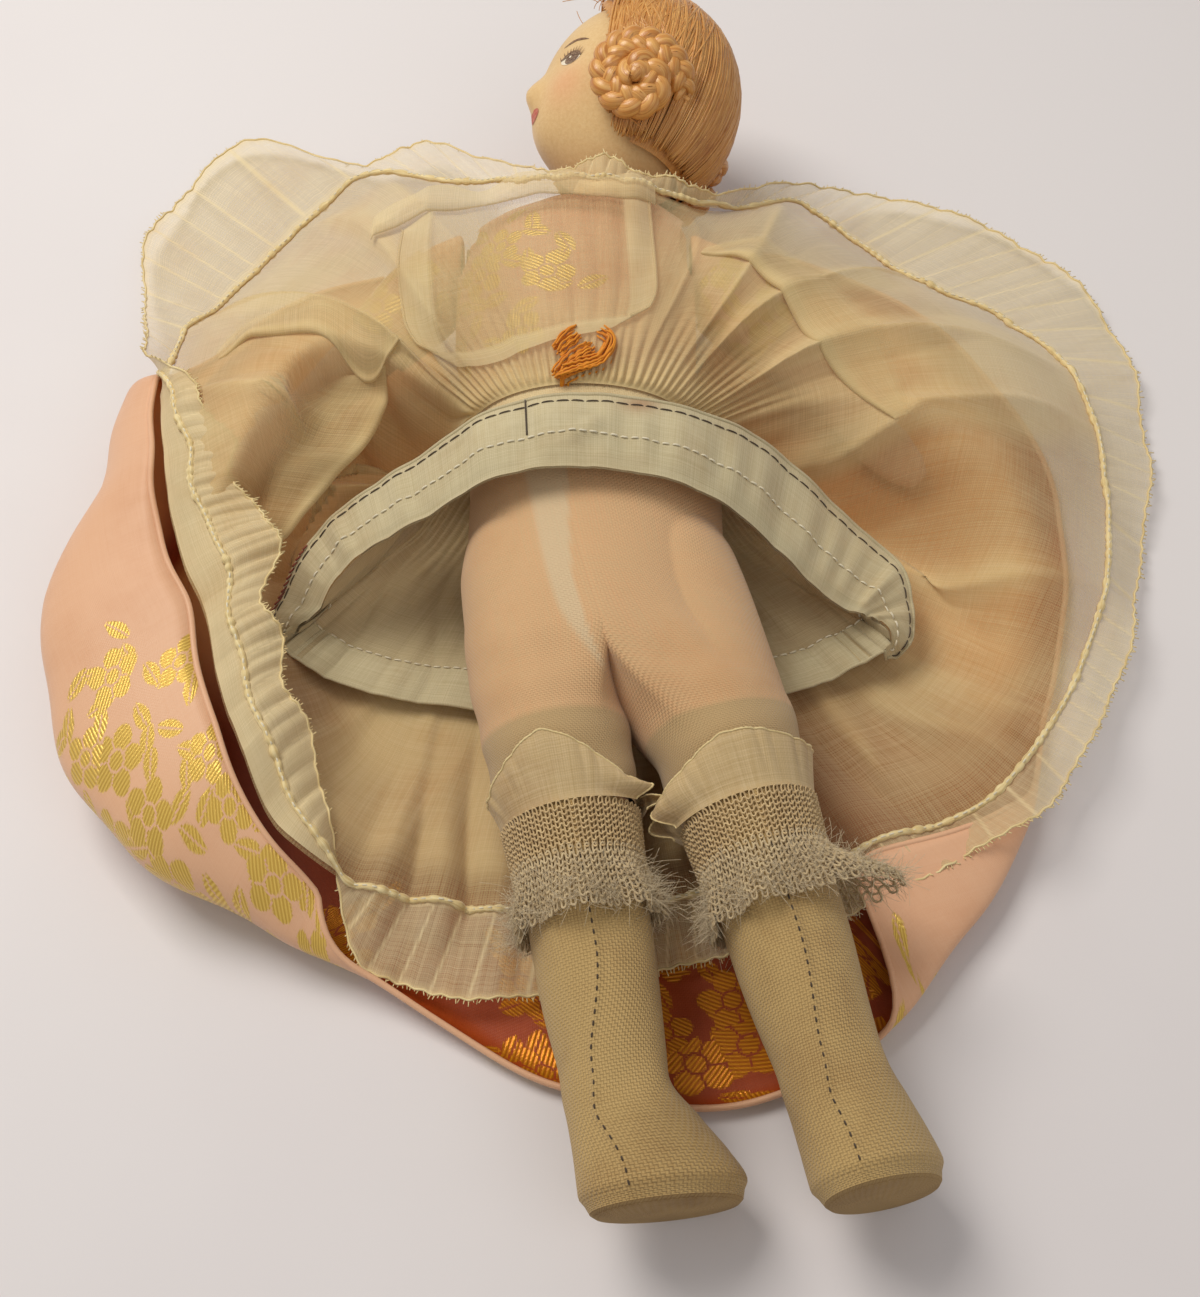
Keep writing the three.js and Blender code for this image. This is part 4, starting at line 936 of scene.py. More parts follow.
# %% Hem flaps
flap_gauze = gauze("flap_gauze", tone(200, 172, 120), tone(166, 128, 78), 0.8, 0.95, 0.5, 0.4, 0.7, 60.0)
for side, sign in sides.items():
    opening = math.pi if sign > 0 else 0.35
    share = np.linspace(0, 1, 241)
    angle = opening + 0.22 + share * (2 * math.pi - 0.44)
    near_end = np.exp(-share / 0.07) + np.exp(-(1 - share) / 0.07)
    from_point = np.abs(np.angle(np.exp(1j * (angle - 1.8))))
    if side == "left":
        edge_run = 46.0 + 8.5 * np.minimum(np.hypot(from_point, 0.08), 1)
    else:
        edge_run = 49.4 + 1.6 * np.abs(np.sin(1.5 * from_point))
    free_edge = edge_run + 1.2 * ripple(angle, (1, 2, 3), 31 + sign) + 4.0 * near_end
    down = np.linspace(0, 1, 22)[:, None]
    run = mix(free_edge[None], 61.2, down)
    free, uneven = 1 - down, (0.8 + 0.7 * ripple(angle, (2, 3, 5), 41 + sign))[None]
    gape = 5.0 * near_end[None] * (0.35 + 0.65 * np.sin(math.pi * np.minimum(down * 1.2, 1)))
    stand = 1.9 + 1.5 * free**1.5 * uneven + 0.5 * free * pleats(angle + 0.1 * down, 23, 43) + gape
    flap = leg_point(side, run, angle[None], np.maximum(stand, 1.7))
    piece = grid_piece(
        f"{side}_gauze_flap", flap, flap_gauze, f"{side}_leg", angle[None] * 17, run)
    set_values(piece, "closeness", np.broadcast_to(0.9 * smooth(0.86, 0.98, down), run.shape))
    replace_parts(piece, f"{side}_hem_flap")
    border = np.concatenate([flap[::-1, 0], flap[0, 1:], flap[1:, -1]])
    overcast = 0.14 + 0.14 * np.abs(np.sin(np.arange(len(border)) * 1.3))
    cord = tube_piece(
        f"{side}_flap_overcast", border[None], unit(border - border.mean(axis=0))[None], overcast[None],
        edge_thread, f"{side}_leg", 5, finish="gauze")
    print(piece.name, "gapes at", round(math.degrees(opening)), "degrees round the leg")

# %% [markdown]
# ## Knitted lace and mohair frill
# Below each knee sits a tight knitted band, and from it hangs a frill of loose knitting in grey mohair.
# A texture would stay flat at its edge, so the courses are really knitted: each is one closed yarn
# that swings up and down through its neighbours. Fine hairs make the mohair fluffy.

# %% Yarn
yarn = thread_finish("lace_yarn", tone(218, 192, 142), tone(172, 140, 94))
mohair = thread_finish("mohair_yarn", tone(216, 196, 154), tone(172, 146, 106))
mohair_hair = thread_finish("mohair_hairs", tone(224, 208, 176), tone(188, 166, 128))


def knitted(name, side, courses, stand, loops, swing, thick, material, seed):
    """Courses of knitting round a leg; stand(angle, run) is how far off the felt they lie."""
    turn = np.linspace(0, 2 * math.pi * loops, loops * 12 + 1)[:-1]
    chance = np.random.default_rng(seed)
    paths = []
    for course in courses:
        uneven = 1 + 0.16 * ripple(turn / loops, (5, 9, 17, 31), int(chance.integers(1e6)))
        angle = (turn + 0.55 * np.sin(2 * turn)) / loops
        run = course + swing * np.cos(turn) * uneven
        lift = stand(angle, run) + 0.75 * thick * np.cos(2 * turn)
        paths.append(leg_spots(side, run, angle, lift))
    print(f"{name}: {len(paths)} courses of {loops} loops")
    return tube_piece(
        name, *np.array(paths).swapaxes(0, 1), thick, material, f"{side}_leg", 4, True, "lace_yarn")


def frill_stand(side):
    """The frill flares from its band in waves, more on the upper side of the leg."""
    sign = sides[side]

    def stand(angle, run):
        share = smooth(71.5, 84.5, run)
        waves = 0.6 + 0.4 * np.cos(7 * angle + 1.3 * ripple(angle, (1, 2, 3), 51 + sign))
        flare = 4.8 * (0.55 + 0.45 * np.sin(angle)) * waves
        curl = 11.0 * np.exp(-(np.angle(np.exp(1j * (angle - 0.25))) / 0.5) ** 2) if sign > 0 else 0.0
        return 2.0 + share * (flare + curl)

    return stand


# %% Bands and frills
for side in sides:
    band = knitted(
        f"{side}_knitted_band", side, np.linspace(62.2, 71.0, 8), lambda angle, run: 2.0 + 0 * angle, 52,
        0.95, 0.25, yarn, 61)
    stand = frill_stand(side)
    frill = knitted(
        f"{side}_mohair_frill", side, np.linspace(72.4, 84.0, 8), stand, 54, 1.3, 0.29, mohair, 63)
    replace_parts(band, f"{side}_lace_band")
    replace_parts(frill, f"{side}_lace_frill")
    chance = np.random.default_rng(65 + sides[side])
    count = 2400
    angle, run = chance.uniform(0, 2 * math.pi, count), 72 + 13 * chance.beta(2.2, 1.1, count)
    root, outward = leg_spots(side, run, angle, stand(angle, run))
    lean = unit(
        outward + leg_axes(side)[1] * chance.uniform(-0.4, 1.2, (count, 1))
        + chance.normal(0, 0.8, (count, 3)))
    curl, length = chance.normal(0, 1, (count, 1, 3)), chance.uniform(1.2, 4.2, (count, 1, 1))
    hairs = curled_hairs(root, lean, curl, length, 6)
    fluff = tube_piece(
        f"{side}_mohair_fluff", hairs, chance.normal(0, 1, (count, 1, 3)), 0.045, mohair_hair, f"{side}_leg",
        3, finish="lace_yarn")
    print(fluff.name, "of", count, "hairs")

# %% [markdown]
# ## The head
# The head is turned so far that one ear faces up. It has its own axes: the face, the left ear and the
# crown, all found from the neck's joint. The face is pressed felt, a smooth ball with a small nose,
# chin and cheeks, on which brows, eyes and lips are painted. Each painted mark is a thin patch that
# follows the felt, because a painted edge is crisper than the mesh of the head.

# %% Head axes and surface
NECK_LEAN, NECK_RISE, HEAD_RISE = math.radians(14), math.radians(10), 35.5
neck_axis = unit(np.array((math.sin(NECK_LEAN), math.cos(NECK_LEAN), math.tan(NECK_RISE))))
neck_seat = np.array((0, 119, 31.0))
faced_down = unit(np.array((0, 0, -1.0)) + neck_axis[2] * neck_axis)
turned = math.radians(75)
ahead = math.cos(turned) * faced_down + math.sin(turned) * np.cross(neck_axis, faced_down)
head_axes = np.array((ahead, np.cross(neck_axis, ahead), neck_axis))
head_middle = neck_seat + HEAD_RISE * neck_axis
HEAD_HALF = np.array((25, 23, 29.0))
HAIR_HALF = HEAD_HALF + 2.8
FACE_TURN = math.radians(32)
face_cos, face_sin = math.cos(FACE_TURN), math.sin(FACE_TURN)
face_axes = np.array(((face_cos, face_sin, 0), (-face_sin, face_cos, 0), (0, 0, 1)))
face_forms = [
    ((1, 0, -0.26), 3.4, 0.11), ((0.84, 0, -0.66), 1.8, 0.22), ((0.8, 0.42, -0.4), 1.4, 0.25),
    ((0.8, -0.42, -0.4), 1.4, 0.25), ((0.86, 0.5, -0.02), -0.9, 0.16), ((0.86, -0.5, -0.02), -0.9, 0.16)]


def from_head(points):
    return head_middle + np.asarray(points) @ head_axes


def head_surface(ways, lift=0.0):
    """Places on the felt in the head's axes, along ways given in the face's own axes."""
    ways = unit(np.asarray(ways, float))
    reach = 1 / np.linalg.norm(ways @ face_axes / HEAD_HALF, axis=-1) + lift
    for middle, height, spread in face_forms:
        apart = ((ways - unit(np.array(middle))) ** 2).sum(axis=-1)
        reach = reach + height * np.exp(-apart / (2 * spread**2))
    return ways @ face_axes * reach[..., None]


def ball_ways(columns, rows, top=0.0, foot=math.pi):
    turn, dip = np.linspace(0, 2 * math.pi, columns + 1)[None, :-1], np.linspace(top, foot, rows)[:, None]
    return joined(np.sin(dip) * np.cos(turn), np.sin(dip) * np.sin(turn), np.cos(dip) + 0 * turn)


print("face and upper ear look along", (face_axes[0] @ head_axes).round(2), head_axes[1].round(2))

# %% Felt head and neck
face_felt = felted("face_felt", tone(228, 196, 142), tone(212, 172, 114), 0.45, 1100.0)
socket = face_felt.node_tree.nodes["Principled BSDF"].inputs["Base Color"]
fill(socket, blended(mesh_value(face_felt, "blush"), socket.links[0].from_socket, tone(224, 140, 110)))
ways = ball_ways(128, 90, 0.01, math.pi - 0.01)
head = grid_piece(
    "felt_head", from_head(head_surface(ways)), face_felt, "head", np.linspace(0, 150, 129)[None],
    np.linspace(0, 90, 90)[:, None], True)
cheeks = sum(np.exp(-((ways - unit(np.array((0.78, s * 0.5, -0.36)))) ** 2).sum(-1) / 0.06) for s in (-1, 1))
set_values(head, "blush", 0.35 * cheeks)
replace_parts(head, "head")
stuffed("neck", "felt_neck", 0.9, 4, face_felt, "head")


# %% Painted brows, eyes and lips
FACE_REACH = 24.5  # from the head's middle to where a mark's outline is drawn


def paint(name, colour, roughness=0.5):
    material, shader, coords = start_finish(name, Roughness=roughness)
    fibres = use(felting, Place=coords["Object"], Fineness=1600.0)
    worn = calc("MULTIPLY_ADD", fibres["Tone"], 0.4, 0.2, clamp=True)
    fill(shader["Base Color"], blended(worn, colour, tone(220, 190, 150)))
    bump(shader, fibres["Height"], 0.2, 0.1)
    return material


def patch(name, middle, outline, lift, material):
    """A thin painted mark: an outline in mm about a direction from the head's middle."""
    middle = unit(np.array(middle, float))
    level = unit(np.cross((0, 0, 1.0), middle))
    raised = np.cross(middle, level)
    outline = np.asarray(outline, float)
    shares = np.linspace(0.02, 1, 5)[:, None, None]
    flat = outline.mean(axis=0) + (outline - outline.mean(axis=0))[None] * shares
    spots = middle * FACE_REACH + flat[..., :1] * level + flat[..., 1:] * raised
    marks = from_head(head_surface(spots, lift))
    return grid_piece(
        name, marks, material, "head", np.linspace(0, 9, len(outline) + 1)[None], shares[..., 0] * 3, True)


def ribbon(points, half):
    """The outline of a brush stroke along points; half is half of its width at each."""
    points = np.asarray(points, float)
    along = unit(np.gradient(points, axis=0))
    off = joined(-along[:, 1], along[:, 0]) * np.asarray(half)[:, None]
    return np.concatenate([points + off, (points - off)[::-1]])


brown_paint = paint("brown_paint", tone(104, 64, 36))
iris_paint = paint("iris_paint", tone(74, 36, 20), 0.3)
white_paint = paint("eye_white_paint", tone(238, 228, 206), 0.35)
lip_paint = paint("lip_paint", tone(190, 62, 56))
turn = np.linspace(0, 2 * math.pi, 33)[:-1]
arc = np.linspace(-1, 1, 17)
for side, sign in sides.items():
    at = (0.86, -sign * 0.5, -0.03)
    almond = joined(3.6 * np.cos(turn), 2.1 * np.sin(turn) * np.abs(np.sin(turn)) ** 0.3)
    patch(f"{side}_eye_white", at, almond, 0.10, white_paint)
    disc = joined(np.cos(turn), np.sin(turn))
    patch(f"{side}_iris", at, disc * (2.5, 2.0) + (0.5, 0.0), 0.16, iris_paint)
    patch(f"{side}_eye_glint", at, disc * 0.4 + (-0.4, 0.8), 0.22, white_paint)
    lid = joined(3.9 * arc, 2.15 * (1 - arc**2) ** 0.7 + 0.1)
    patch(f"{side}_lash_line", at, ribbon(lid, 0.5 * (1.1 - arc**2)), 0.20, iris_paint)
    brow = joined(5.0 * arc, 5.6 + 1.2 * (1 - arc**2))
    patch(f"{side}_brow", at, ribbon(brow, 0.36 * (1.05 - arc**2)), 0.12, brown_paint)
    for k, tip in enumerate(np.linspace(-1, 1, 9)):
        root = np.array((3.5 * tip, 2.0 * (1 - tip**2) ** 0.7 + 0.2))
        lash = root + np.linspace(0, 1, 5)[:, None] * np.array((1.3 * tip, 1.9))
        patch(f"{side}_lash_{k}", at, ribbon(lash, np.linspace(0.2, 0.04, 5)), 0.24, brown_paint)
bow = 0.35 * np.exp(-(np.cos(turn) / 0.3) ** 2) * (np.sin(turn) > 0)
lips = joined(2.9 * np.cos(turn), 1.25 * np.sin(turn) - bow)
patch("lips", (0.92, 0, -0.5), lips, 0.14, lip_paint)

# %% [markdown]
# ## Hair
# The hair is combed mohair, glossy and golden: drawn from the parting and the temples to the coil over
# each ear, and down from the crown to the nape. A plain cap would look moulded, so hundreds of thin
# locks lie on it. The plait is three thick strands that really cross, wound into a tight rosette with a
# small knot in its middle.

# %% Hair finish and the cap
hair, shader, coords = start_finish("golden_hair", Roughness=0.34, Anisotropic=0.6, Specular_IOR_Level=0.7)
strands = use(combing, Cloth_place=coords["UV"], Fineness=2.2)
aged = ageing(coords, tone(198, 130, 58), tone(158, 88, 30), 0.7, 70)
tint = calc("ADD", strands["Tone"], 0.38, clamp=True)
fill(shader["Base Color"], blended(tint, aged["Colour"], tone(236, 184, 106)))
bump(shader, strands["Height"], 0.6, 0.25)


def hair_place(ways, lift):
    """Places on the hair's form, in the head's own axes, lifted off it."""
    ways = unit(np.asarray(ways, float))
    on = ways / np.linalg.norm(ways / HAIR_HALF, axis=-1, keepdims=True)
    return on + unit(on / HAIR_HALF**2) * np.asarray(lift)[..., None]


def clear_of_face(points):
    room = ((points @ face_axes.T - np.array((26, 0, -5.8))) / np.array((23, 26.5, 28.5))) ** 2
    column, row = in_picture(from_head(points))
    hairline = curve((0, 25, 50, 80, 95, 110, 128, 145), (600, 611, 597, 591, 599, 608, 621, 634), row)
    return (room.sum(axis=-1) > 1) & (points[..., 2] > -23) & ((column > hairline) | (points[..., 1] < 4))


ways = ball_ways(144, 96, 0.01, math.pi - 0.01)
cap_points = hair_place(ways, np.full(ways.shape[:2], -0.7))
cap = grid_piece(
    "hair_cap", from_head(cap_points), hair, "head", np.linspace(0, 400, 145)[None],
    np.linspace(0, 90, 96)[:, None], True, lambda middle: clear_of_face((middle - head_middle) @ head_axes.T))
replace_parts(cap, "wig_cap")
print("cap faces:", len(cap.data.polygons))

# %% Combed locks
COIL = np.array((-10.5, 0, -10.0))
NAPE, PARTING, TEMPLE = 300, 210, 190  # locks from the crown, the parting and the brow
for side, sign in sides.items():
    ear = -sign
    chance = np.random.default_rng(71 + sign)
    coil_way = unit(np.array((COIL[0], ear * 21.0, COIL[2])) / HAIR_HALF)
    swing, low = np.radians(chance.uniform(86, 186, NAPE)), -0.95 + chance.uniform(-0.05, 0.12, NAPE)
    starts = [joined(0.14 * np.cos(swing), 0.14 * ear * np.sin(swing), np.ones(NAPE))]
    ends = [joined(np.cos(swing), ear * np.sin(swing), low)]
    tilt, turn = chance.uniform(-0.5, 0.75, PARTING), chance.uniform(0, 2 * math.pi, PARTING)
    starts.append(joined(np.sin(tilt), np.full(PARTING, -0.03 * ear), np.cos(tilt)))
    ends.append(coil_way + 0.36 * joined(np.cos(turn), 0 * turn, np.sin(turn)))
    drop, brow = chance.uniform(-0.62, 0.74, TEMPLE), np.radians(chance.uniform(58, 63, TEMPLE))
    level = np.sqrt(1 - drop**2)
    starts.append(joined(level * np.cos(brow), ear * level * np.sin(brow), drop) @ face_axes)
    ends.append(coil_way + chance.normal(0, 0.16, (TEMPLE, 3)))
    step = np.linspace(0, 1, 24)[None, :, None]
    starts, ends = (unit(np.concatenate(part))[:, None] for part in (starts, ends))
    ways = unit(mix(starts, ends, step)) * HAIR_HALF
    lift = 0.1 + chance.uniform(0, 0.75, (len(starts), 1)) + 0.45 * np.sin(math.pi * step[..., 0])
    locks = hair_place(ways, lift)
    outside = clear_of_face(locks).mean(axis=1) > 0.88
    paths = from_head(locks[outside])
    thick = 0.36 * (0.35 + 0.65 * np.sin(math.pi * np.clip(step[..., 0] * 0.9 + 0.07, 0, 1)))
    tube_piece(
        f"{side}_combed_locks", paths, unit(paths - head_middle), thick, hair, "head", 5, finish="hair")
    print(side, "locks:", int(outside.sum()))

# %% Plaits wound over the ears
LOOSE = 120  # hairs that have left each plait
STRAND, SWING, CROSSING, TURNS = 2.45, 2.15, 11.0, 1.5
for side, sign in sides.items():
    ear = -sign
    turn = np.linspace(0, TURNS, 420)
    radius, angle = 0.3 + 6.7 * turn, 2 * math.pi * turn
    x, z = COIL[0] + radius * np.cos(angle), COIL[2] + radius * np.sin(angle)
    y = ear * HAIR_HALF[1] * np.sqrt(1 - (x / HAIR_HALF[0]) ** 2 - (z / HAIR_HALF[2]) ** 2)
    out = unit(joined(x, y, z) / HAIR_HALF**2)
    tucked = 2.6 * smooth(1.3, TURNS, turn)
    route = joined(x, y, z) + out * (2.8 + 2.2 * (1 - radius / 10.4) ** 2 - tucked)[:, None]
    along = unit(np.gradient(route, axis=0))
    across = np.cross(along, out)
    run = np.cumsum(np.linalg.norm(np.gradient(route, axis=0), axis=1)) * 2 * math.pi / CROSSING
    plait = []
    for k in range(3):
        swing = run + 2 * math.pi * k / 3
        plait.append(
            route + across * (SWING * np.sin(swing))[:, None] + out * (0.95 * np.sin(2 * swing))[:, None])
    plait = from_head(np.array(plait))
    ends = smooth(-0.05, 0.02, turn / TURNS) * smooth(1, 0.94, turn / TURNS)
    coil = tube_piece(
        f"{side}_plait_coil", plait, (out @ head_axes)[None], STRAND * (0.35 + 0.65 * ends)[None], hair,
        "head", 12, finish="hair")
    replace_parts(coil, f"{side}_braid_coil")
    reach = np.linspace(-1, 1, 11)
    heart = route[0] + 0.9 * out[0] + across[0] * (2.6 * reach)[:, None]
    round_ends = 2.1 * np.sqrt(1.02 - reach**2)
    tube_piece(
        f"{side}_coil_heart", from_head(heart)[None], (out[0] @ head_axes)[None, None], round_ends, hair,
        "head", 14, finish="hair")
    chance = np.random.default_rng(81 + sign)
    which, start = chance.integers(0, 3, LOOSE), chance.integers(0, 390, LOOSE)
    off = out[150] @ head_axes
    loose = plait[which[:, None], start[:, None] + np.arange(16)[None]]
    loose = loose + off * (1.8 + 0.7 * np.sin(np.linspace(0, math.pi, 16)))[None, :, None]
    tube_piece(f"{side}_loose_hairs", loose, off[None, None], 0.09, hair, "head", 3, finish="hair")
    print(coil.name, "with", round(float(run[-1] / 2 / math.pi), 1), "crossings of each strand")

# %% Stray tuft at the crown
chance = np.random.default_rng(91)
STRAYS = 46
ways = unit(chance.normal(0, 0.12, (STRAYS, 3)) + np.array((0.25, 0.35, 0.9)))
root = from_head(hair_place(ways, np.zeros(STRAYS)))
lean = unit(neck_axis * 0.4 + head_axes[1] * 0.6 + chance.normal(0, 0.55, (STRAYS, 3)))
length, curl = chance.uniform(3, 7, (STRAYS, 1, 1)), chance.normal(0, 1, (STRAYS, 1, 3))
tuft = curled_hairs(root, lean, curl, length, 12)
tube_piece("stray_tuft", tuft, chance.normal(0, 1, (STRAYS, 1, 3)), 0.11, hair, "head", 3, finish="hair")
print("stray hairs:", len(tuft))

# %% [markdown]
# ## The outer skirt
# The skirt lies under everything like a dish: its floor is flat on the table and its wall curls up and
# over, so that the peach outside shows on the curl and the rust reverse inside it. It is drawn round the
# waist: for each angle, how far the wall stands out, how high its rim is and how far the rim turns over.

# %% Places round the waist
WAIST = np.array((-4.0, 48.0))


def polar(degrees, radius, height):
    angle = np.radians(degrees)
    return joined(WAIST[0] + radius * np.cos(angle), WAIST[1] + radius * np.sin(angle), height)


def waist_ring(degrees, y, grow):
    """A ring round the waistband, grow outside it."""
    x, lift, wide, deep = trunk_section(np.full(np.shape(degrees), float(y)))
    angle, reach = np.radians(degrees), 2.0 + grow
    return joined(x + (wide + reach) * np.cos(angle), float(y), LIE + lift + (deep + reach) * np.sin(angle))


print("waist ring is", np.ptp(waist_ring(np.arange(360.0), 49, 0), axis=0).round(1), "mm")

# %% The dish of the skirt
FLOOR_END, HALF_CLOTH = 0.62, 0.45
skirt_contour = [
    (126, 96), (140, 104), (152, 110), (160, 115), (168, 120), (184, 118), (198, 133), (212, 140), (226, 142),
    (240, 137), (250, 137), (268, 149), (283, 158), (297, 152), (306, 144), (318, 137), (332, 126),
    (346, 121), (360, 121), (384, 115), (406, 107), (420, 98)]
skirt_rim = [
    (126, 2), (152, 2), (160, 8), (170, 30), (186, 36), (215, 36), (236, 28), (250, 14), (268, 6), (290, 6),
    (302, 14), (316, 12), (326, 6), (346, 4), (360, 2.5), (420, 2)]
skirt_turn = [
    (126, 0.4), (152, 0.4), (170, 0.82), (236, 0.82), (252, 0.5), (268, 0.4), (290, 0.4), (304, 0.8),
    (318, 0.7), (330, 0.5), (420, 0.4)]
petticoat_seam = [
    (0, 130), (15, 130), (26, 124), (38, 110), (56, 107), (62, 90), (69, 72), (80, 67), (100, 68), (113, 82),
    (125, 113), (147, 114), (165, 107), (187, 100), (207, 99), (224, 109), (240, 121), (256, 115), (283, 112),
    (303, 117), (319, 127), (340, 128)]


def skirt_points(degrees, share):
    """The skirt's middle surface: a floor up to FLOOR_END of each line from the waist, then a curled wall."""
    degrees, share = degrees[None], share[:, None]
    angle = np.radians(degrees)
    contour, height, turn = (
        curve(*np.array(pairs).T, degrees) for pairs in (skirt_contour, skirt_rim, skirt_turn))
    contour = contour + 1.2 * ripple(angle, (5, 9, 14), 101)
    height = height * (1 + 0.05 * ripple(angle, (6, 11, 17), 102))
    front = np.maximum(0, -np.sin(angle)) ** 1.5
    start = waist_ring(degrees[0], 54, 1.2)[None]
    top = mix(0.4, LIE - 18.6 - 2.5, front)
    bulge = 3 + 0.42 * height
    foot = polar(degrees, contour - bulge, 0.4)
    floor = mix(start, foot, np.minimum(share / FLOOR_END, 1)[..., None])
    floor[..., 2] = mix(top, 0.55, smooth(0, 0.06, share))
    curl = np.maximum(share - FLOOR_END, 0) / (1 - FLOOR_END) * turn * math.pi
    rim = np.minimum(around(petticoat_seam, degrees) + 3.0, contour - 4)
    inward = (contour - rim) * smooth(0.45, 0.8, turn) / np.maximum(1 - np.sin(turn * math.pi), 0.2)
    bulge_in = np.where(curl > math.pi / 2, np.maximum(inward, bulge), bulge)
    soft = 0.9 * ripple(angle, (13, 19, 27), 103) * np.sin(curl) * np.minimum(height / 20, 1)
    wall = polar(
        degrees, contour - bulge_in * (1 - np.sin(curl)) + soft, 0.55 + height / 2 * (1 - np.cos(curl)))
    return np.where((share <= FLOOR_END)[..., None], floor, wall)


degrees = np.linspace(126, 420, 480)
near_waist = np.array((0, 0.02, 0.045, 0.075, 0.14))
share = np.concatenate([near_waist, np.linspace(0.2, FLOOR_END, 9), np.linspace(FLOOR_END, 1, 38)[1:]])
middle = skirt_points(degrees, share)
inward = grid_normals(middle)
inward = inward * np.sign(inward[8:9, :, 2:])
inside, outside = middle + HALF_CLOTH * inward, middle - HALF_CLOTH * inward
inside[..., 2], outside[..., 2] = np.maximum(inside[..., 2], 0.5), np.maximum(outside[..., 2], 0.05)
print("skirt spans", np.ptp(middle.reshape(-1, 3), axis=0).round(), "mm")

# %% Brocade skirt with two faces
rust_reverse = brocade_finish(
    "rust_reverse", tone(156, 60, 16), tone(114, 32, 6), tone(192, 96, 36), tone(218, 142, 26),
    tone(160, 70, 14), tone(236, 166, 100), Specular_IOR_Level=0.3, Anisotropic=0.3)
rows, columns = middle.shape[:2]
from_hem = np.linalg.norm(np.diff(middle, axis=0, append=middle[-1:]), axis=2)[::-1].cumsum(axis=0)[::-1]
u, v = np.broadcast_to(np.radians(degrees)[None] * 128, (rows, columns)), from_hem - 16
face = quads(rows, columns, False)
count = rows * columns
along, beside = np.arange(columns), np.arange(1, rows) * columns
border = np.concatenate([along, beside + columns - 1, beside[-1] + along[-2::-1], beside[-2::-1]])
after = np.roll(border, -1)
rim = joined(border, after, after + count, border + count)
faces = np.concatenate([face[:, ::-1] + count, face, rim[:, ::-1]])
flat = joined(u, v).reshape(-1, 2)
flat = np.concatenate([flat, flat])
skirt = new_piece(
    "brocade_skirt", np.concatenate([inside.reshape(-1, 3), outside.reshape(-1, 3)]), faces.tolist(),
    [peach_brocade, rust_reverse], "trunk", flat[faces.ravel()])
which = np.zeros(len(faces), np.int32)
which[len(face):2 * len(face)] = 1
skirt.data.polygons.foreach_set("material_index", which)
at_sides = np.maximum(1 - smooth(196, 222, degrees), smooth(318, 334, degrees))[None]
fade_and_painted_light = (1 - smooth(0.56, FLOOR_END, share))[:, None] * at_sides
# Painted light: inside the curl at the left the rust reverse lies in the rim's shade, so it is given the
# paler orange ground to look lit.
painted_light_on_curl = smooth(0.64, 0.7, share)[:, None] * window((140, 156), (206, 226), degrees)[None]
set_values(skirt, "fade_and_painted_light", np.stack([np.maximum(fade_and_painted_light, 0.7 * painted_light_on_curl), 0 * fade_and_painted_light]))
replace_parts(skirt, "skirt")
hem_line, hem_out = middle[-1], inward[-1]
hem = tube_piece(
    "skirt_rolled_hem", hem_line[None], hem_out[None], 0.75, peach_brocade, "trunk", 8, finish="brocade")
print("skirt faces:", len(faces))

# %% [markdown]
# ## The petticoat
# The petticoat is one full circle of gauze. Its front half lies under the legs and its back half is
# thrown up over the doll's back and arms. It is gathered at the waist into fine pleats that run out
# into a few deep folds. Pleats and folds are added along the cloth's own normal, always upwards, so
# the cloth stays clear of what is below it.

# %% Petticoat form
petticoat_rise = [
    (0, 8), (24, 7), (40, 9), (56, 15), (62, 24), (69, 38), (80, 48), (100, 48), (113, 38), (125, 19),
    (135, 10), (147, 8), (160, 18), (187, 30), (224, 28), (238, 22), (246, 10), (266, 6.5), (303, 8),
    (340, 9)]
deep_folds = [
    (-16, 4, 6), (4, 5, 6), (20, 6, 7), (39, 5, 6), (54, 3, 4), (66, 1.5, 3), (118, 2, 4), (134, 4, 6),
    (154, 5, 6), (176, 4, 6), (222, 3, 3), (233, 3.5, 3), (243, 3, 3), (252, 2.5, 3), (288, 2.5, 3),
    (297, 3, 3), (307, 3.5, 3), (318, 4, 4), (329, 4, 4)]


def over_back(degrees, share):
    """1 where the cloth is thrown up over the back and arms, 0 where it runs under the legs."""
    turn = np.where(degrees > 270, degrees - 360, degrees)[None]
    right = curve((0, 0.35, 0.55, 0.75, 1), (2, -2, -8, -16, -26), share)
    left = curve((0, 0.4, 0.52, 0.62, 0.78, 1), (158, 162, 170, 184, 197, 205), share)
    return window((right - 9, right + 9), (left - 6, left + 6), turn)


def petticoat_points(degrees, share):
    start = waist_ring(degrees, 49.4, 0.8)[None]
    rim = polar(degrees, around(petticoat_seam, degrees), around(petticoat_rise, degrees))[None]
    share, angle = share[:, None], np.radians(degrees)[None]
    cloth = mix(start, rim, share[..., None])
    tent = mix(6.5, 17, smooth(0.2, 0.65, np.abs(np.cos(angle)))) * np.sin(math.pi * share)
    floor = mix(mix(start[..., 2], 3.2, smooth(0, 0.1, share)), rim[..., 2], smooth(0.68, 1, share))
    cloth[..., 2] = mix(floor, cloth[..., 2] + tent, over_back(degrees, share))
    return cloth


degrees = np.arange(0, 360, 0.5)
angle = np.radians(degrees)[None]
share = np.linspace(0, 1, 80) ** 1.35
petticoat = petticoat_points(degrees, share)
upward = facing_up(grid_normals(petticoat, True))
down = share[:, None]
gathers = 1.1 * pleats(angle, 104, 111) * window((0, 0.03), (0.06, 0.32), down)
thrown = over_back(degrees, down)
pleating = (1.2 + 0.8 * ripple(angle, (2, 5), 112)) * pleats(angle + 0.03 * np.sin(5 * down), 46, 113)
pleating = pleating * smooth(0.08, 0.35, down)
wound = angle + 0.09 * np.sin(4.2 * down + 2 * ripple(angle, (2, 3), 117))
flowing = (2.6 + 1.3 * ripple(angle, (3, 7), 118)) * pleats(wound, 40, 119, 1.6) * smooth(0.06, 0.3, down)
pleating = mix(0.4 * pleating + flowing, 0.4 * pleating, thrown)
deep = 0
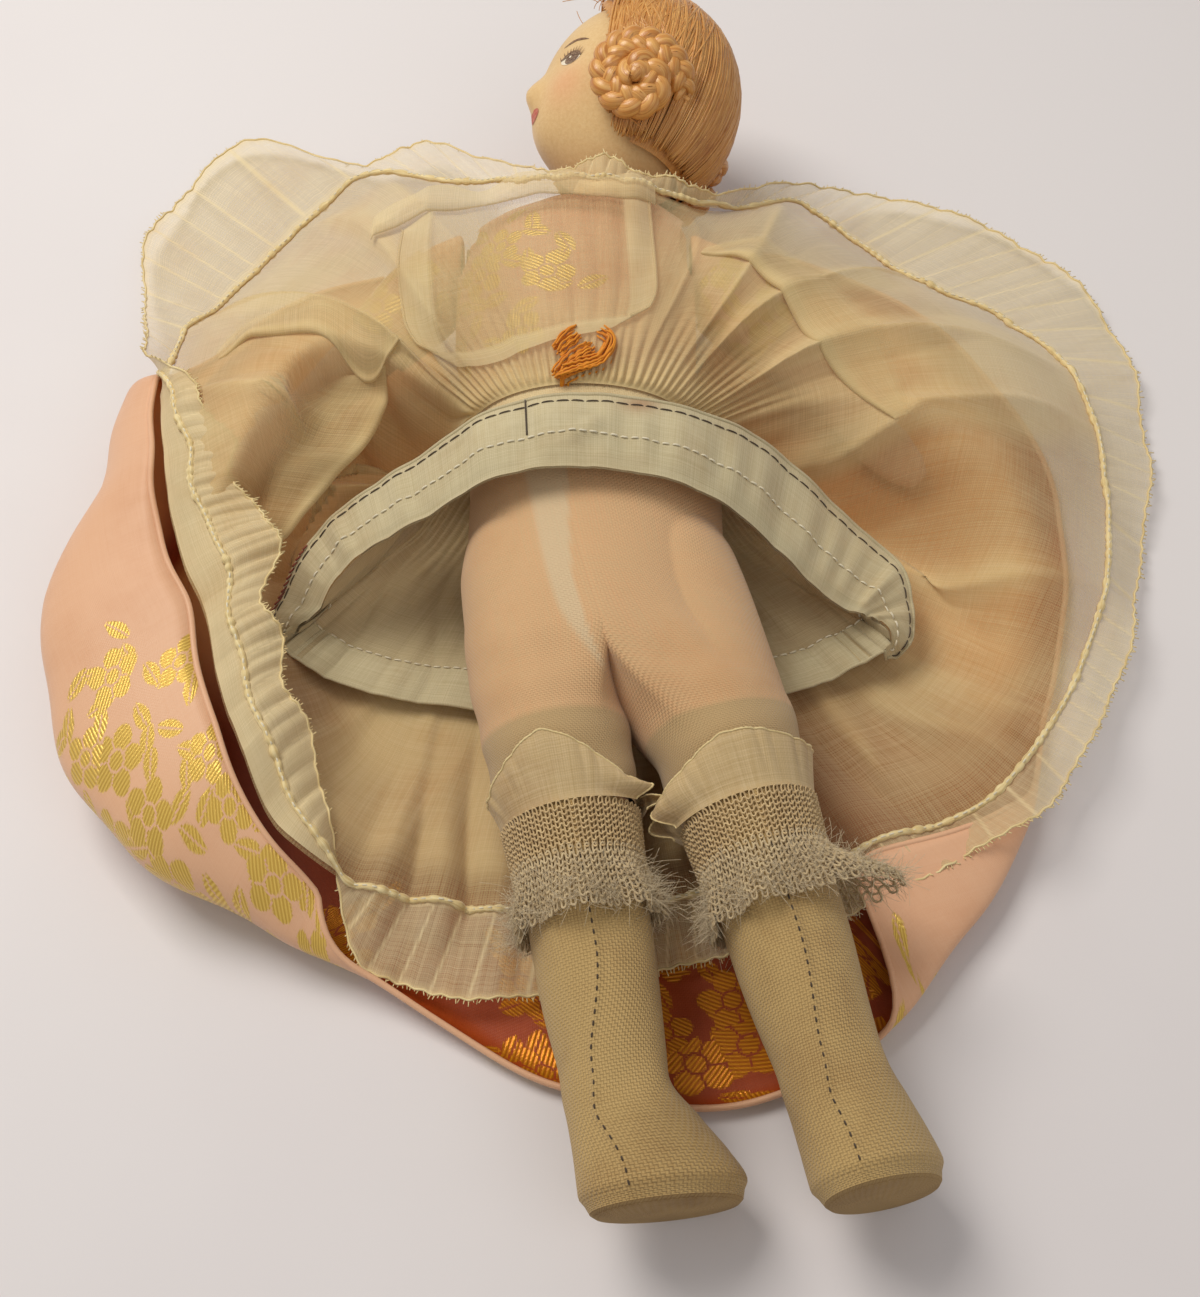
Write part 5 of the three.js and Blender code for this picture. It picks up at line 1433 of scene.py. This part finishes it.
for at, height, wide in deep_folds:
    apart = np.abs(np.angle(np.exp(1j * (angle - math.radians(at) - 0.07 * np.sin(4 * down + at)))))
    deep = deep + height * np.exp(-apart / np.radians(wide * (0.45 + 0.7 * down)))
deep = deep * smooth(0.03, 0.3, down) * (1 - 0.55 * smooth(0.7, 1, down))
bell_reach = [
    (205, 0), (216, 0.86), (228, 0.76), (250, 0.66), (270, 0.62), (290, 0.62), (315, 0.68), (328, 0.72),
    (340, 0)]
bell_share = curve(*np.array(bell_reach).T, degrees)[None]
under_bell = (1 - smooth(bell_share - 0.02, bell_share + 0.26, down)) * smooth(0.1, 0.5, bell_share)
folds = (gathers + np.maximum(pleating, 0) + 1.1 * deep) * mix(1, 0.26, under_bell)
petticoat = petticoat + upward * folds[..., None]
print("petticoat top at", petticoat[..., 2].max().round(1), "mm")

# %% Petticoat piece
cream_gauze = gauze("cream_gauze", tone(224, 198, 138), tone(204, 158, 92), 0.34, 0.56)
u = np.radians(np.append(degrees, 360))[None] * 90
sheet = grid_piece("gauze_petticoat", petticoat, cream_gauze, "trunk", u, down * 110, True)
under_legs = window((206, 226), (318, 340), degrees)[None]
behind = window((284, 296), (322, 334), degrees)[None] * smooth(0.2, 0.35, down)
doubled = 0.6 * under_legs * (1 - smooth(0.9, 0.98, down)) * (1 - 0.75 * behind)
doubled = np.maximum(0.14 * thrown * (1 - smooth(0.5, 0.95, down)), doubled)
beside = window((122, 146), (200, 215), degrees)[None]
doubled = np.maximum(doubled, 0.3 * beside * (1 - smooth(0.85, 1, down)))
doubled = np.maximum(doubled, 0.5 * smooth(1.6, 3.6, deep))
over_spine = window((62, 80), (104, 126), degrees)[None] * window((0.25, 0.45), (0.85, 1), down)
set_values(sheet, "closeness", np.maximum(0.8 * (1 - smooth(0.0, 0.16, down)), doubled) - 0.45 * over_spine)
# Under the legs the gauze is darkened in patches towards brown: partly real dirt, partly painted shade.
patchy = (0.55 + 0.45 * ripple(angle, (5, 9, 14), 114)).clip(0, 1)
set_values(sheet, "soil_and_shade", 0.7 * under_legs * smooth(0.2, 0.9, down) * patchy)
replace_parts(sheet, "petticoat")
tree_over = BVHTree.FromObject(sheet, bpy.context.evaluated_depsgraph_get())

# %% [markdown]
# ## The ruffle
# A strip of the same gauze is gathered on to the petticoat's edge and finished with a picot edge. On the
# table it lies outwards; beside the doll's left leg it stands up and turns back over the petticoat. A
# thin cord stands for the overcast seam, and a zigzag cord for the picots.

# %% Ruffle
ruffle_edge = [
    (6, 147), (20, 153), (30, 153), (44, 143), (56, 123), (61, 105), (66, 80.5), (71, 75), (80, 73), (98, 73),
    (105, 104), (111, 131), (117, 131), (129, 161), (143, 152), (154, 130), (162, 117), (169, 108), (175, 94),
    (187, 82), (203, 79), (216, 86), (228, 95), (238, 107), (244, 122), (250, 134), (267, 132), (283, 125),
    (300, 128), (322, 137), (351, 139)]
ruffle_rise = [
    (6, 2.6), (44, 2.6), (56, 9), (61, 21), (66, 37), (71, 43), (80, 48), (98, 46), (105, 22), (111, 8),
    (129, 2.6), (148, 5), (156, 14), (164, 28), (172, 38), (180, 39), (190, 36), (206, 35), (218, 32),
    (230, 27), (238, 21), (247, 10), (257, 5), (290, 5), (306, 10), (318, 14), (328, 12), (340, 8),
    (351, 3.5)]
around_edge = np.arange(0, 360, 0.2)
edge = joined(*(np.interp(around_edge, degrees, petticoat[-1, :, k], period=360) for k in range(3)))
turned = smooth(-8, 4, np.hypot(*(edge[:, :2] - WAIST).T) - around(ruffle_edge, around_edge))
outward = polar(around_edge, 1, 0) - polar(around_edge, 0, 0)
start = edge + outward * (0.5 * (1 - 2 * turned))[:, None]
start[:, 2] += 2.4 * turned
turn = np.radians(around_edge)
picot = (
    0.5 * np.abs((around_edge * 1.14) % 2 - 1) + (1.0 + 1.8 * turned) * ripple(turn, (11, 17, 23, 31), 125))
end = (
    polar(around_edge, around(ruffle_edge, around_edge), around(ruffle_rise, around_edge))
    + outward * picot[:, None])
turn = turn[None]
strip = np.linspace(0, 1, 22)[:, None]
seam_share = 0.4 * turned
sewn = smooth(seam_share - 0.03, seam_share + 0.08, strip)
ruffle = mix(start[None], end[None], strip[..., None])
arched = 1.8 * turned[None] * np.sin(math.pi * strip)
waves = 1.2 * np.cos(25 * turn + 1.2 * ripple(turn, (3, 4, 7), 121)) * strip + arched
crisp = mix(0.4, 0.9, turned)[None]
tucks = pleats(turn + 0.02 * strip, 88, 128, 2.4)
fine = crisp * pleats(turn, 172, 122, 1.6) * sewn * (1 - 0.45 * strip) + 0.9 * tucks * strip * sewn
ruffle[..., 2] = np.maximum(ruffle[..., 2] + waves + fine, 1.3)
pale_gauze = gauze("ruffle_gauze", tone(234, 214, 164), tone(210, 176, 114), 0.34, 0.54)
ruffle_piece = grid_piece(
    "gauze_ruffle", ruffle, pale_gauze, "trunk", np.radians(np.append(around_edge, 360))[None] * 135,
    strip * 19, True)
creased = 0.8 * (crisp - 0.2) * (1 - smooth(0.0, 0.2, pleats(turn, 172, 122, 1.6))) * sewn
creased = np.maximum(creased, 0.72 * (1 - smooth(0.0, 0.2, tucks)) * sewn)
near_seam = 0.75 * (1 - smooth(0, 0.1, np.abs(strip - seam_share)))
folded_back = 0.42 * turned[None] + 0 * strip
at_edge = 0.7 * smooth(0.93, 0.99, strip) + 0 * turn
set_values(ruffle_piece, "closeness", np.maximum.reduce([creased, near_seam, folded_back, at_edge]))
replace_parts(ruffle_piece, "petticoat_ruffle")

# %% Ruffle seam and picot edge
place = seam_share * (len(strip) - 1)
low, column = place.astype(int), np.arange(len(around_edge))
seam = mix(ruffle[low, column], ruffle[low + 1, column], (place - low)[:, None]) + (0, 0, 0.3)
up = np.array((0, 0, 1.0))
puckered = 0.62 + 0.5 * np.abs(ripple(turn, (61, 89, 131, 173), 126))
seam_cord = tube_piece("ruffle_seam_cord", seam[None], up, puckered, edge_thread, "trunk", 6, True, "gauze")
close = np.append(column, 0)
seam_stitches = stitches(
    "ruffle_seam_stitches", seam[close], np.broadcast_to(up, (len(close), 3)), 2.1, 1.4, 0.22, white_thread,
    "trunk", 0.55, "gauze")
picots = tube_piece(
    "ruffle_picots", (ruffle[-1] + (0, 0, 0.1))[None], up, 0.3, edge_thread, "trunk", 5, True, "gauze")
tips = np.arange(0, len(around_edge), 2)
lean = unit(ruffle[-1] - ruffle[-3])[tips] + 0.35 * np.random.default_rng(127).normal(0, 1, (len(tips), 3))
loops = ruffle[-1][tips][:, None] + lean[:, None] * np.linspace(0, 0.95, 4)[None, :, None]
loops[..., 2] = np.maximum(loops[..., 2], 0.5)
picot_tips = tube_piece("picot_tips", loops, up, 0.15, edge_thread, "trunk", 4, finish="gauze")
print("ruffle faces:", len(ruffle_piece.data.polygons))

# %% [markdown]
# ## The under-petticoat
# A shorter, greyer gauze skirt is pushed up round the hips and opens towards us like a bell. Over the back
# its hem is turned up into a broad cuff with a drawn thread along its edge; below, its double hem lies
# inside the bell. The bell is lofted from the waist to its rim, and cuff and hem are sheets of their own.


# %% Under-petticoat form
def opening(degrees):
    """The rim of the bell: the lip of its cuff above, the edge of its double hem below."""
    turn = np.radians(degrees)
    across, deep = np.cos(turn), np.sin(turn)
    below, up_there, rightward = smooth(0.2, -0.25, deep), np.maximum(deep, 0), np.maximum(across, 0)
    sway = ripple(turn, (2, 3, 5, 8), 133) + 0.25 * ripple(turn, (9, 13), 136)
    high = np.where(
        deep > 0, curve((0, 0.475, 0.8, 0.93, 1), (15, 28, 41, 51, 55), deep),
        mix(15, 6.2, np.abs(deep) ** 0.7))
    droop = rightward * smooth(0, 0.5, deep)
    x = mix(-1.5, -3.5, below) + mix(65.0, 74.0, below) * across
    y = 4 + 17 * up_there**1.3 - 18.5 * np.maximum(-deep, 0) - 4 * droop + 1.2 * sway
    return joined(x, y, high - 6 * droop + 1.2 * sway * smooth(-0.4, 0.5, deep))


def bell_points(degrees, share):
    start, hem = waist_ring(degrees, 45.1, 0.8)[None], opening(degrees)[None]
    turn, share = np.radians(degrees)[None], share[:, None]
    deep = np.sin(turn)
    cloth = mix(start, hem, share[..., None])
    quickly = np.where(deep > 0, 0.6, 0.35)
    cloth[..., 2] = mix(start[..., 2], hem[..., 2], smooth(0, 1, np.minimum(share / quickly, 1)))
    folds = 2.4 * pleats(turn + 0.12 * np.sin(5 * share), 17, 131, 1.5) + 0.8 * pleats(turn, 43, 134)
    folds = folds * mix(1, 0.3, smooth(0.6, 1, share) * smooth(0, 0.3, deep))
    gathers = 0.8 * pleats(turn, 80, 132) * window((0, 0.05), (0.2, 0.6), share)
    cloth[..., 2] += folds * smooth(0.15, 0.6, share) * mix(0.45, 1, smooth(-0.75, -0.1, deep)) + gathers
    return cloth


degrees = np.arange(0, 360, 0.75)
turn = np.radians(np.append(degrees, 360))[None]
share = np.linspace(0, 1, 46)
bell = bell_points(degrees, share)
grey_gauze = gauze("grey_gauze", tone(208, 190, 144), tone(168, 138, 90), 0.62, 0.84, 0.42, 0.3, 0.6, 26.0)
bell_piece = grid_piece(
    "gauze_under_petticoat", bell, grey_gauze, "trunk", turn * 70, share[:, None] * 62, True)
set_values(bell_piece, "closeness", 0.75 * (1 - smooth(0, 0.3, share))[:, None] * np.ones((1, len(degrees))))
# Painted shade: the gauze is darkened deep inside the bell, towards the waist.
set_values(bell_piece, "soil_and_shade", 0.16 * (1 - smooth(0.35, 0.9, share))[:, None] * np.ones((1, len(degrees))))
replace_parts(bell_piece, "under_petticoat")
bell_tree = BVHTree.FromObject(bell_piece, bpy.context.evaluated_depsgraph_get())
print("under-petticoat hem is", np.ptp(bell[-1], axis=0).round(1), "mm")


# %% Laying cloth on cloth
def lay_on(points, tree, lift, keep_high=False):
    """Points dropped on to a piece and lifted off it; keep_high leaves those that are above it already."""
    laid = np.array(points, float)
    for spot in laid.reshape(-1, 3):
        hit = tree.ray_cast(Vector(in_frame((spot[0], spot[1], 90.0))), Vector((0, 0, -1)))[0]
        if hit is not None:
            rest = hit.z * 1000 + lift
            spot[2] = max(spot[2], rest) if keep_high else rest
    return laid


def bridge(heights, rounds):
    """Lift the hollows of a row or grid of heights, as stiff cloth lies across them."""
    for _ in range(rounds):
        for axis in range(heights.ndim):
            line = np.moveaxis(heights, axis, 0)
            line[1:-1] = np.maximum(line[1:-1], (line[:-2] + line[2:]) / 2)


# %% Cuff
casing_gauze = gauze(
    "casing_gauze", tone(200, 186, 144), tone(172, 144, 94), 0.78, 0.94, 0.42, 0.3, 0.5, 40.0)
cuff_width = [
    (0, 8), (25, 22), (50, 25), (75, 21), (95, 20), (130, 17), (160, 14), (174, 11), (184, 6), (196, 0.8),
    (270, 0.5), (344, 0.8)]
steps = np.linspace(0, 1, 18)[:, None]
over = np.arange(-22, 262) % len(degrees)
lip = bell[-1, over]
swing = np.radians(degrees[over])
aside = unit(joined(np.cos(swing) / 65, np.sin(swing) / 17, 0 * swing))
wide = around(cuff_width, degrees[over])
cuff = lip[None] + aside[None] * (wide * steps)[..., None]
crumple = ripple(swing, (19, 27, 41, 57), 135)[None] * np.sin(2.6 * steps + 0.4)
fold_over = smooth(0, 0.12, steps) * (0.7 + 1.1 * np.sin(math.pi * steps) ** 0.6)
droop = 5.0 * (1 - np.abs(np.sin(swing))) ** 0.7 * steps
cuff[..., 2] += (fold_over + 0.8 * crumple * smooth(0, 0.3, steps)) * np.minimum(wide / 8, 1) - droop
for _ in range(3):
    cuff = lay_on(cuff, bell_tree, 0.8, True)
    cuff[1:, 1:-1, 2] = (cuff[1:, :-2, 2] + 2 * cuff[1:, 1:-1, 2] + cuff[1:, 2:, 2]) / 4
cuff_out = facing_up(grid_normals(cuff))
cuff_piece = grid_piece(
    "hem_casing", cuff, casing_gauze, "trunk", np.linspace(0, 205, len(over))[None], wide[None] * steps)
column, row = in_picture(cuff)
STAIN_AT, STAIN_HALF = (640, 404), (20, 8)  # in the picture
from_stain = ((column - STAIN_AT[0]) / STAIN_HALF[0]) ** 2 + ((row - STAIN_AT[1]) / STAIN_HALF[1]) ** 2
set_values(cuff_piece, "soil_and_shade", 0.85 * np.exp(-from_stain))
print("cuff is up to", wide.max(), "mm wide")

# %% Double hem inside the bell
HEM_DEPTH = 10.0
out = grid_normals(bell, True)
out = out * np.sign(np.sum(out[20] * (bell[20] - bell[20].mean(axis=0)), axis=1))[None, :, None]
length = np.linalg.norm(np.diff(bell, axis=0), axis=2).sum(axis=0)
below = np.arange(238, 483) % len(degrees)
place = np.clip((1 - HEM_DEPTH * steps / length[below][None]) * (len(share) - 1), 0, len(share) - 1.001)
low = place.astype(int)
lining = mix(bell[low, below[None]], bell[low + 1, below[None]], (place - low)[..., None])
lining_in = -out[low, below[None]]
lining = lining + lining_in * (0.35 + 0.5 * np.sin(math.pi * steps))[..., None]
lining_piece = grid_piece(
    "hem_lining", lining, casing_gauze, "trunk", np.linspace(0, 237, len(below))[None], steps * HEM_DEPTH)

# %% Stitches of the hem
hem_stitches = [
    stitches(name, line, out, pitch, length, radius, thread, "trunk", lift, "pale_gauze")
    for name, line, out, pitch, length, radius, thread, lift in (
        ("casing_top_stitches", cuff[7], cuff_out[7], 2.4, 1.7, 0.22, white_thread, 0.12),
        ("casing_edge_stitches", cuff[15], cuff_out[15], 3.4, 2.9, 0.17, dark_thread, 0.1),
        ("lining_stitches", lining[-1], lining_in[-1], 2.4, 1.7, 0.2, white_thread, 0.15))]
hem_edge = bell[-1].copy()
hem_edge[over] = cuff[-1]
hem_fold = tube_piece("casing_fold", hem_edge[None], up, 0.45, casing_gauze, "trunk", 6, True, "pale_gauze")
JOIN_AT = 159  # the cuff's column where the ends of the casing meet
seam = cuff[8:, JOIN_AT][None] + (0, 0, 0.25)
join = tube_piece("casing_join", seam, up, 0.22, dark_thread, "trunk", 5, finish="pale_gauze")
rust_thread = thread_finish("rust_thread", tone(146, 66, 34), tone(98, 38, 18))
mended = np.arange(212, 248, 2)
inward = unit(bell[-9] - bell[-1])[mended]
ends = hem_edge[mended][:, None] + inward[:, None] * np.linspace(-0.6, 2.4, 6)[None, :, None] + (0, 0, 0.8)
mending = tube_piece("mending_stitches", ends, up, 0.26, rust_thread, "trunk", 5, finish="pale_gauze")

# %% [markdown]
# ## Folds that lie over each other
# At the left hip and the shoulders the thrown-up petticoat is folded over itself. Each fold is a second
# layer of gauze that leaves the petticoat along one line and ends in a rounded edge along another, bridging
# the hollows below it.


# %% Overlapping folds
def laid_fold(name, root, edge, high, flat):
    """A fold of the petticoat from its root to its rounded edge.

    Both are places in the picture; high gives the least heights at the ends of each.
    """
    along, reach = np.linspace(0, 1, 70), np.linspace(0, 1, 28)[:, None]
    root, edge = (joined(*curves(np.linspace(0, 1, len(line)), line, along)) for line in (root, edge))
    spots = mix(root[None], edge[None], reach[..., None])
    level = mix(mix(*high[:2], along)[None], mix(*high[2:], along)[None], reach)
    fold = lay_on(seen_at(spots[..., 0], spots[..., 1], level), tree_over, 0.4, True)
    bridge(fold[..., 2], 14)
    full = np.sin(math.pi * along) ** 0.5
    creases = 0.6 * np.sin(9 * along + 5 * reach) + 0.4 * np.sin(23 * along + 3 * reach)
    fold[..., 2] += full * (1.2 * smooth(0, 1, reach) + creases)
    outward = unit((fold[-1] - fold[-4]) * (1, 1, 0))
    bend = np.radians((35, 70, 105, 140, 180))[:, None]
    thick = (0.25 + 0.9 * full)[None]
    sunk = (thick * (1 - np.cos(bend)))[..., None] * (0, 0, 1.0)
    turned = fold[-1] + outward * (thick * np.sin(bend))[..., None] - sunk
    under = turned[-1:] - outward * 3.0 * full[:, None]
    fold = np.concatenate([fold, turned, under])
    down = np.linspace(0, 1, len(fold))[:, None]
    piece = grid_piece(
        name, fold, cream_gauze, "trunk", along[None] * flat[0] * 1000, down * flat[1] * 1000)
    from_root = reach[:, 0]
    near_edge = mix(-2, 0.05, smooth(0, 0.5, from_root)) + 0.35 * smooth(0.75, 1, from_root)
    near_edge = np.concatenate([near_edge, np.full(6, 0.4)])
    set_values(piece, "closeness", near_edge[:, None] * np.ones((1, 70)))
    print(name, "takes", round(sum(face.area for face in piece.data.polygons) * 1e6), "mm2 of cloth")


hip_root = [(330, 375), (300, 388), (276, 410), (262, 440), (250, 470), (245, 500), (246, 530), (254, 550)]
hip_edge = [(386, 376), (385, 399), (377, 420), (358, 451), (330, 477), (305, 508), (284, 536), (262, 554)]
laid_fold("left_hip_fold", hip_root, hip_edge, (38, 27, 37, 22), (0.048, 0.028))
left_root = [(222, 376), (258, 336), (322, 318), (372, 330), (404, 350)]
left_edge = [(226, 384), (262, 362), (322, 362), (369, 380), (404, 358)]
laid_fold("left_shoulder_fold", left_root, left_edge, (24, 42, 26, 42), (0.056, 0.018))
right_root = [(704, 272), (760, 258), (815, 276), (862, 320), (892, 370), (908, 420), (902, 464)]
right_edge = [(699, 281), (726, 290), (757, 317), (788, 358), (812, 396), (843, 431), (884, 468)]
laid_fold("right_shoulder_fold", right_root, right_edge, (40, 20, 40, 20), (0.070, 0.030))

# %% [markdown]
# ## The opening over the back
# The petticoat's placket lies over the doll's back as a double panel: two folded bands, one each side,
# with rounded lower corners, and a rolled fold across its top. They are laid on the petticoat by dropping
# each of their points on to it.

# %% Placket panel
across, down = np.linspace(0, 1, 64), np.linspace(0, 1, 48)[:, None]
left_edge = curve((0, 0.3, 0.7, 0.9, 1), (402, 398, 402, 414, 440), down)
right_edge = curve((0, 0.4, 0.8, 0.93, 1), (648, 652, 656, 650, 630), down)
top_edge = curve((0, 0.25, 0.6, 1), (226, 200, 184, 178), across)
foot_edge = curve((0, 0.1, 0.3, 0.6, 0.9, 1), (340, 352, 355, 345, 334, 322), across)
panel = seen_at(
    mix(left_edge, right_edge, across[None]), mix(top_edge[None], foot_edge[None], down),
    np.full((48, 64), 52.0))
panel = lay_on(panel, tree_over, 0.9)
bridge(panel[..., 2], 6)
panel[..., 2] += 0.35 * np.sin(9 * across)[None] * np.sin(4 * down)
panel_gauze = gauze("panel_gauze", tone(226, 204, 150), tone(204, 164, 104), 0.2, 0.4)
panel_piece = grid_piece(
    "placket_panel", panel, panel_gauze, "trunk", across[None] * 62, down * 52)
bands = np.maximum(
    1 - smooth(0.12, 0.135, across)[None] + 0 * down, smooth(0.885, 0.9, across)[None] + 0 * down)
set_values(panel_piece, "closeness", mix(-0.3, 0.5, np.maximum(bands, smooth(0.91, 0.93, down))))
for k, column in enumerate((0, -1)):
    line = panel[:, column][None] + (0, 0, 0.2)
    tube_piece(f"placket_fold_{k}", line, up, 0.4, panel_gauze, "trunk", 5, finish="gauze")

# %% Rolled fold across the panel
roll_line = np.array([(368, 218), (440, 200), (548, 184), (612, 190), (656, 186)])
columns = np.linspace(roll_line[0, 0], roll_line[-1, 0], 90)
roll = seen_at(columns, curve(*roll_line.T, columns), np.full(90, 54.0))
roll = lay_on(roll, tree_over, 1.2)
bridge(roll[:, 2], 10)
profile = np.array(
    [(6.5, 0.0), (4.5, 0.5), (2.6, 1.0), (1.0, 1.4), (-0.4, 1.5), (-1.5, 1.2), (-1.9, 0.7), (-1.4, 0.2),
    (-0.4, 0)])
swell = 1 + 0.25 * ripple(np.linspace(0, 6, 90), (2, 3, 5), 143)
rolled = roll[None] + joined(0, profile[:, 0], profile[:, 1])[:, None] * swell[None, :, None]
roll_piece = grid_piece(
    "placket_roll", rolled, panel_gauze, "trunk", np.linspace(0, 72, 90)[None],
    np.linspace(0, 10, len(profile))[:, None])
set_values(roll_piece, "closeness", np.full(rolled.shape[:2], 0.25))
print("placket roll of", len(roll_piece.data.polygons), "faces")

# %% Ends of orange thread
orange_thread = thread_finish("orange_thread", tone(240, 162, 22), tone(206, 112, 6))
chance = np.random.default_rng(141)
skeins = [
    ((556, 362), (566, 352), (580, 343)), ((596, 340), (611, 350), (600, 366), (576, 374), (550, 381)),
    ((582, 352), (574, 372), (560, 396)), ((592, 362), (582, 378), (568, 393)),
    ((554, 384), (570, 368), (594, 354))]
ends = []
for skein in skeins:
    for k in range(20):
        part = np.linspace(chance.uniform(0, 0.18), chance.uniform(0.82, 1), 24) * (len(skein) - 1)
        path = joined(*curves(np.arange(len(skein)), skein, part))
        along = unit(np.gradient(path, axis=0))
        aside = chance.uniform(-6, 6) + 0.8 * np.sin(part * 3 + k)
        path = path + joined(-along[:, 1], along[:, 0]) * aside[:, None]
        laid = lay_on(seen_at(path[:, 0], path[:, 1], np.full(24, 50.0)), tree_over, 0.5)
        laid[:, 2] = laid[:, 2].mean() * 0.5 + laid[:, 2] * 0.5 + chance.uniform(0.2, 1.6)
        ends.append(laid)
tube_piece("waist_thread_ends", np.array(ends), up, 0.27, orange_thread, "trunk", 5, finish="brocade")
print("thread ends:", len(ends))

# %% [markdown]
# ## Joint hardware and insoles
# The fibre discs, split pins and insoles are the CAD's own rigid solids. They keep their shapes and get
# finishes of pressed fibre board and dull wire.

# %% Fibre board and wire
board, shader, coords = start_finish("fibre_board", Roughness=0.85)
fibres = use(felting, Place=coords["Object"], Fineness=1400.0)
aged = ageing(coords, tone(150, 116, 78), tone(104, 74, 44), 0.8, 160)
tint = calc("ADD", fibres["Tone"], 0.3, clamp=True)
fill(shader["Base Color"], blended(tint, aged["Colour"], tone(178, 148, 108)))
bump(shader, fibres["Height"], 0.4, 0.15)
wire, shader, coords = start_finish("pin_wire", Metallic=1.0)
aged = ageing(coords, tone(150, 148, 142), tone(112, 92, 70), 0.7, 300)
fill(shader["Base Color"], aged["Colour"])
fill(shader["Roughness"], between(aged["Stain"], 0, 1, 0.35, 0.6))
for name, node in frame["nodes"].items():
    if name.endswith(("_disc", "_insole", "_pin")):
        node.data.materials.clear()
        node.data.materials.append(wire if name.endswith("_pin") else board)
print("finished CAD nodes:", sum(n.endswith(("_disc", "_insole", "_pin")) for n in frame["nodes"]))

# %% [markdown]
# ## Stage, light and camera
# The doll lies on a plain pale table under soft light from the upper left. The camera looks down at sixty
# degrees from the feet.

# %% Table
floor_finish, shader, coords = start_finish("pale_table", Roughness=0.6)
aged = ageing(coords, tone(226, 222, 222), tone(216, 210, 211), 0.6, 2.0)
fill(shader["Base Color"], aged["Colour"])
TABLE_HALF, TABLE_TOP = 1.6, -0.0004
corners = [(x * TABLE_HALF, y * TABLE_HALF, TABLE_TOP) for x, y in ((-1, -1), (1, -1), (1, 1), (-1, 1))]
mesh = bpy.data.meshes.new("table")
mesh.from_pydata(corners, [], [(0, 1, 2, 3)])
mesh.materials.append(floor_finish)
table = bpy.data.objects.new("table", mesh)
scene.collection.objects.link(table)
table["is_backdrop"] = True


# %% Lights
def soft_lamp(name, place, size, watts, colour):
    lamp = bpy.data.lights.new(name, "AREA")
    lamp.energy, lamp.size, lamp.color = watts, size, colour
    obj = bpy.data.objects.new(name, lamp)
    obj.location = place
    obj.rotation_euler = (Vector((0, 0, 0.02)) - Vector(place)).to_track_quat("-Z", "Y").to_euler()
    scene.collection.objects.link(obj)


soft_lamp("window", (-0.48, 0.36, 0.93), 0.55, 8.2, (1.0, 0.96, 0.90))
soft_lamp("room", (0.5, -0.6, 1.1), 1.0, 2.0, (1.0, 0.95, 0.90))
world = bpy.data.worlds.new("room_light")
scene.world = world
world.use_nodes = True
world.node_tree.nodes["Background"].inputs["Color"].default_value = (1, 0.97, 0.95, 1)
world.node_tree.nodes["Background"].inputs["Strength"].default_value = 0.36

# %% Camera
lens = bpy.data.cameras.new("camera")
lens.sensor_width = 36.0
lens.lens = lens.sensor_width * FOCAL / PICTURE[1]
camera = bpy.data.objects.new("camera", lens)
camera.location = in_frame(EYE)
camera.rotation_euler = (TILT, 0, 0)
scene.collection.objects.link(camera)
scene.camera = camera
scene.view_settings.view_transform = "Standard"
print("camera at", in_frame(EYE).round(3))

box_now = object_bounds()
grown = [round(float(abs(box_now[end][k] - cad_box[end][k])) * 1000, 1) for end in (0, 1) for k in range(3)]
print("visual box differs from the CAD box by mm:", grown)
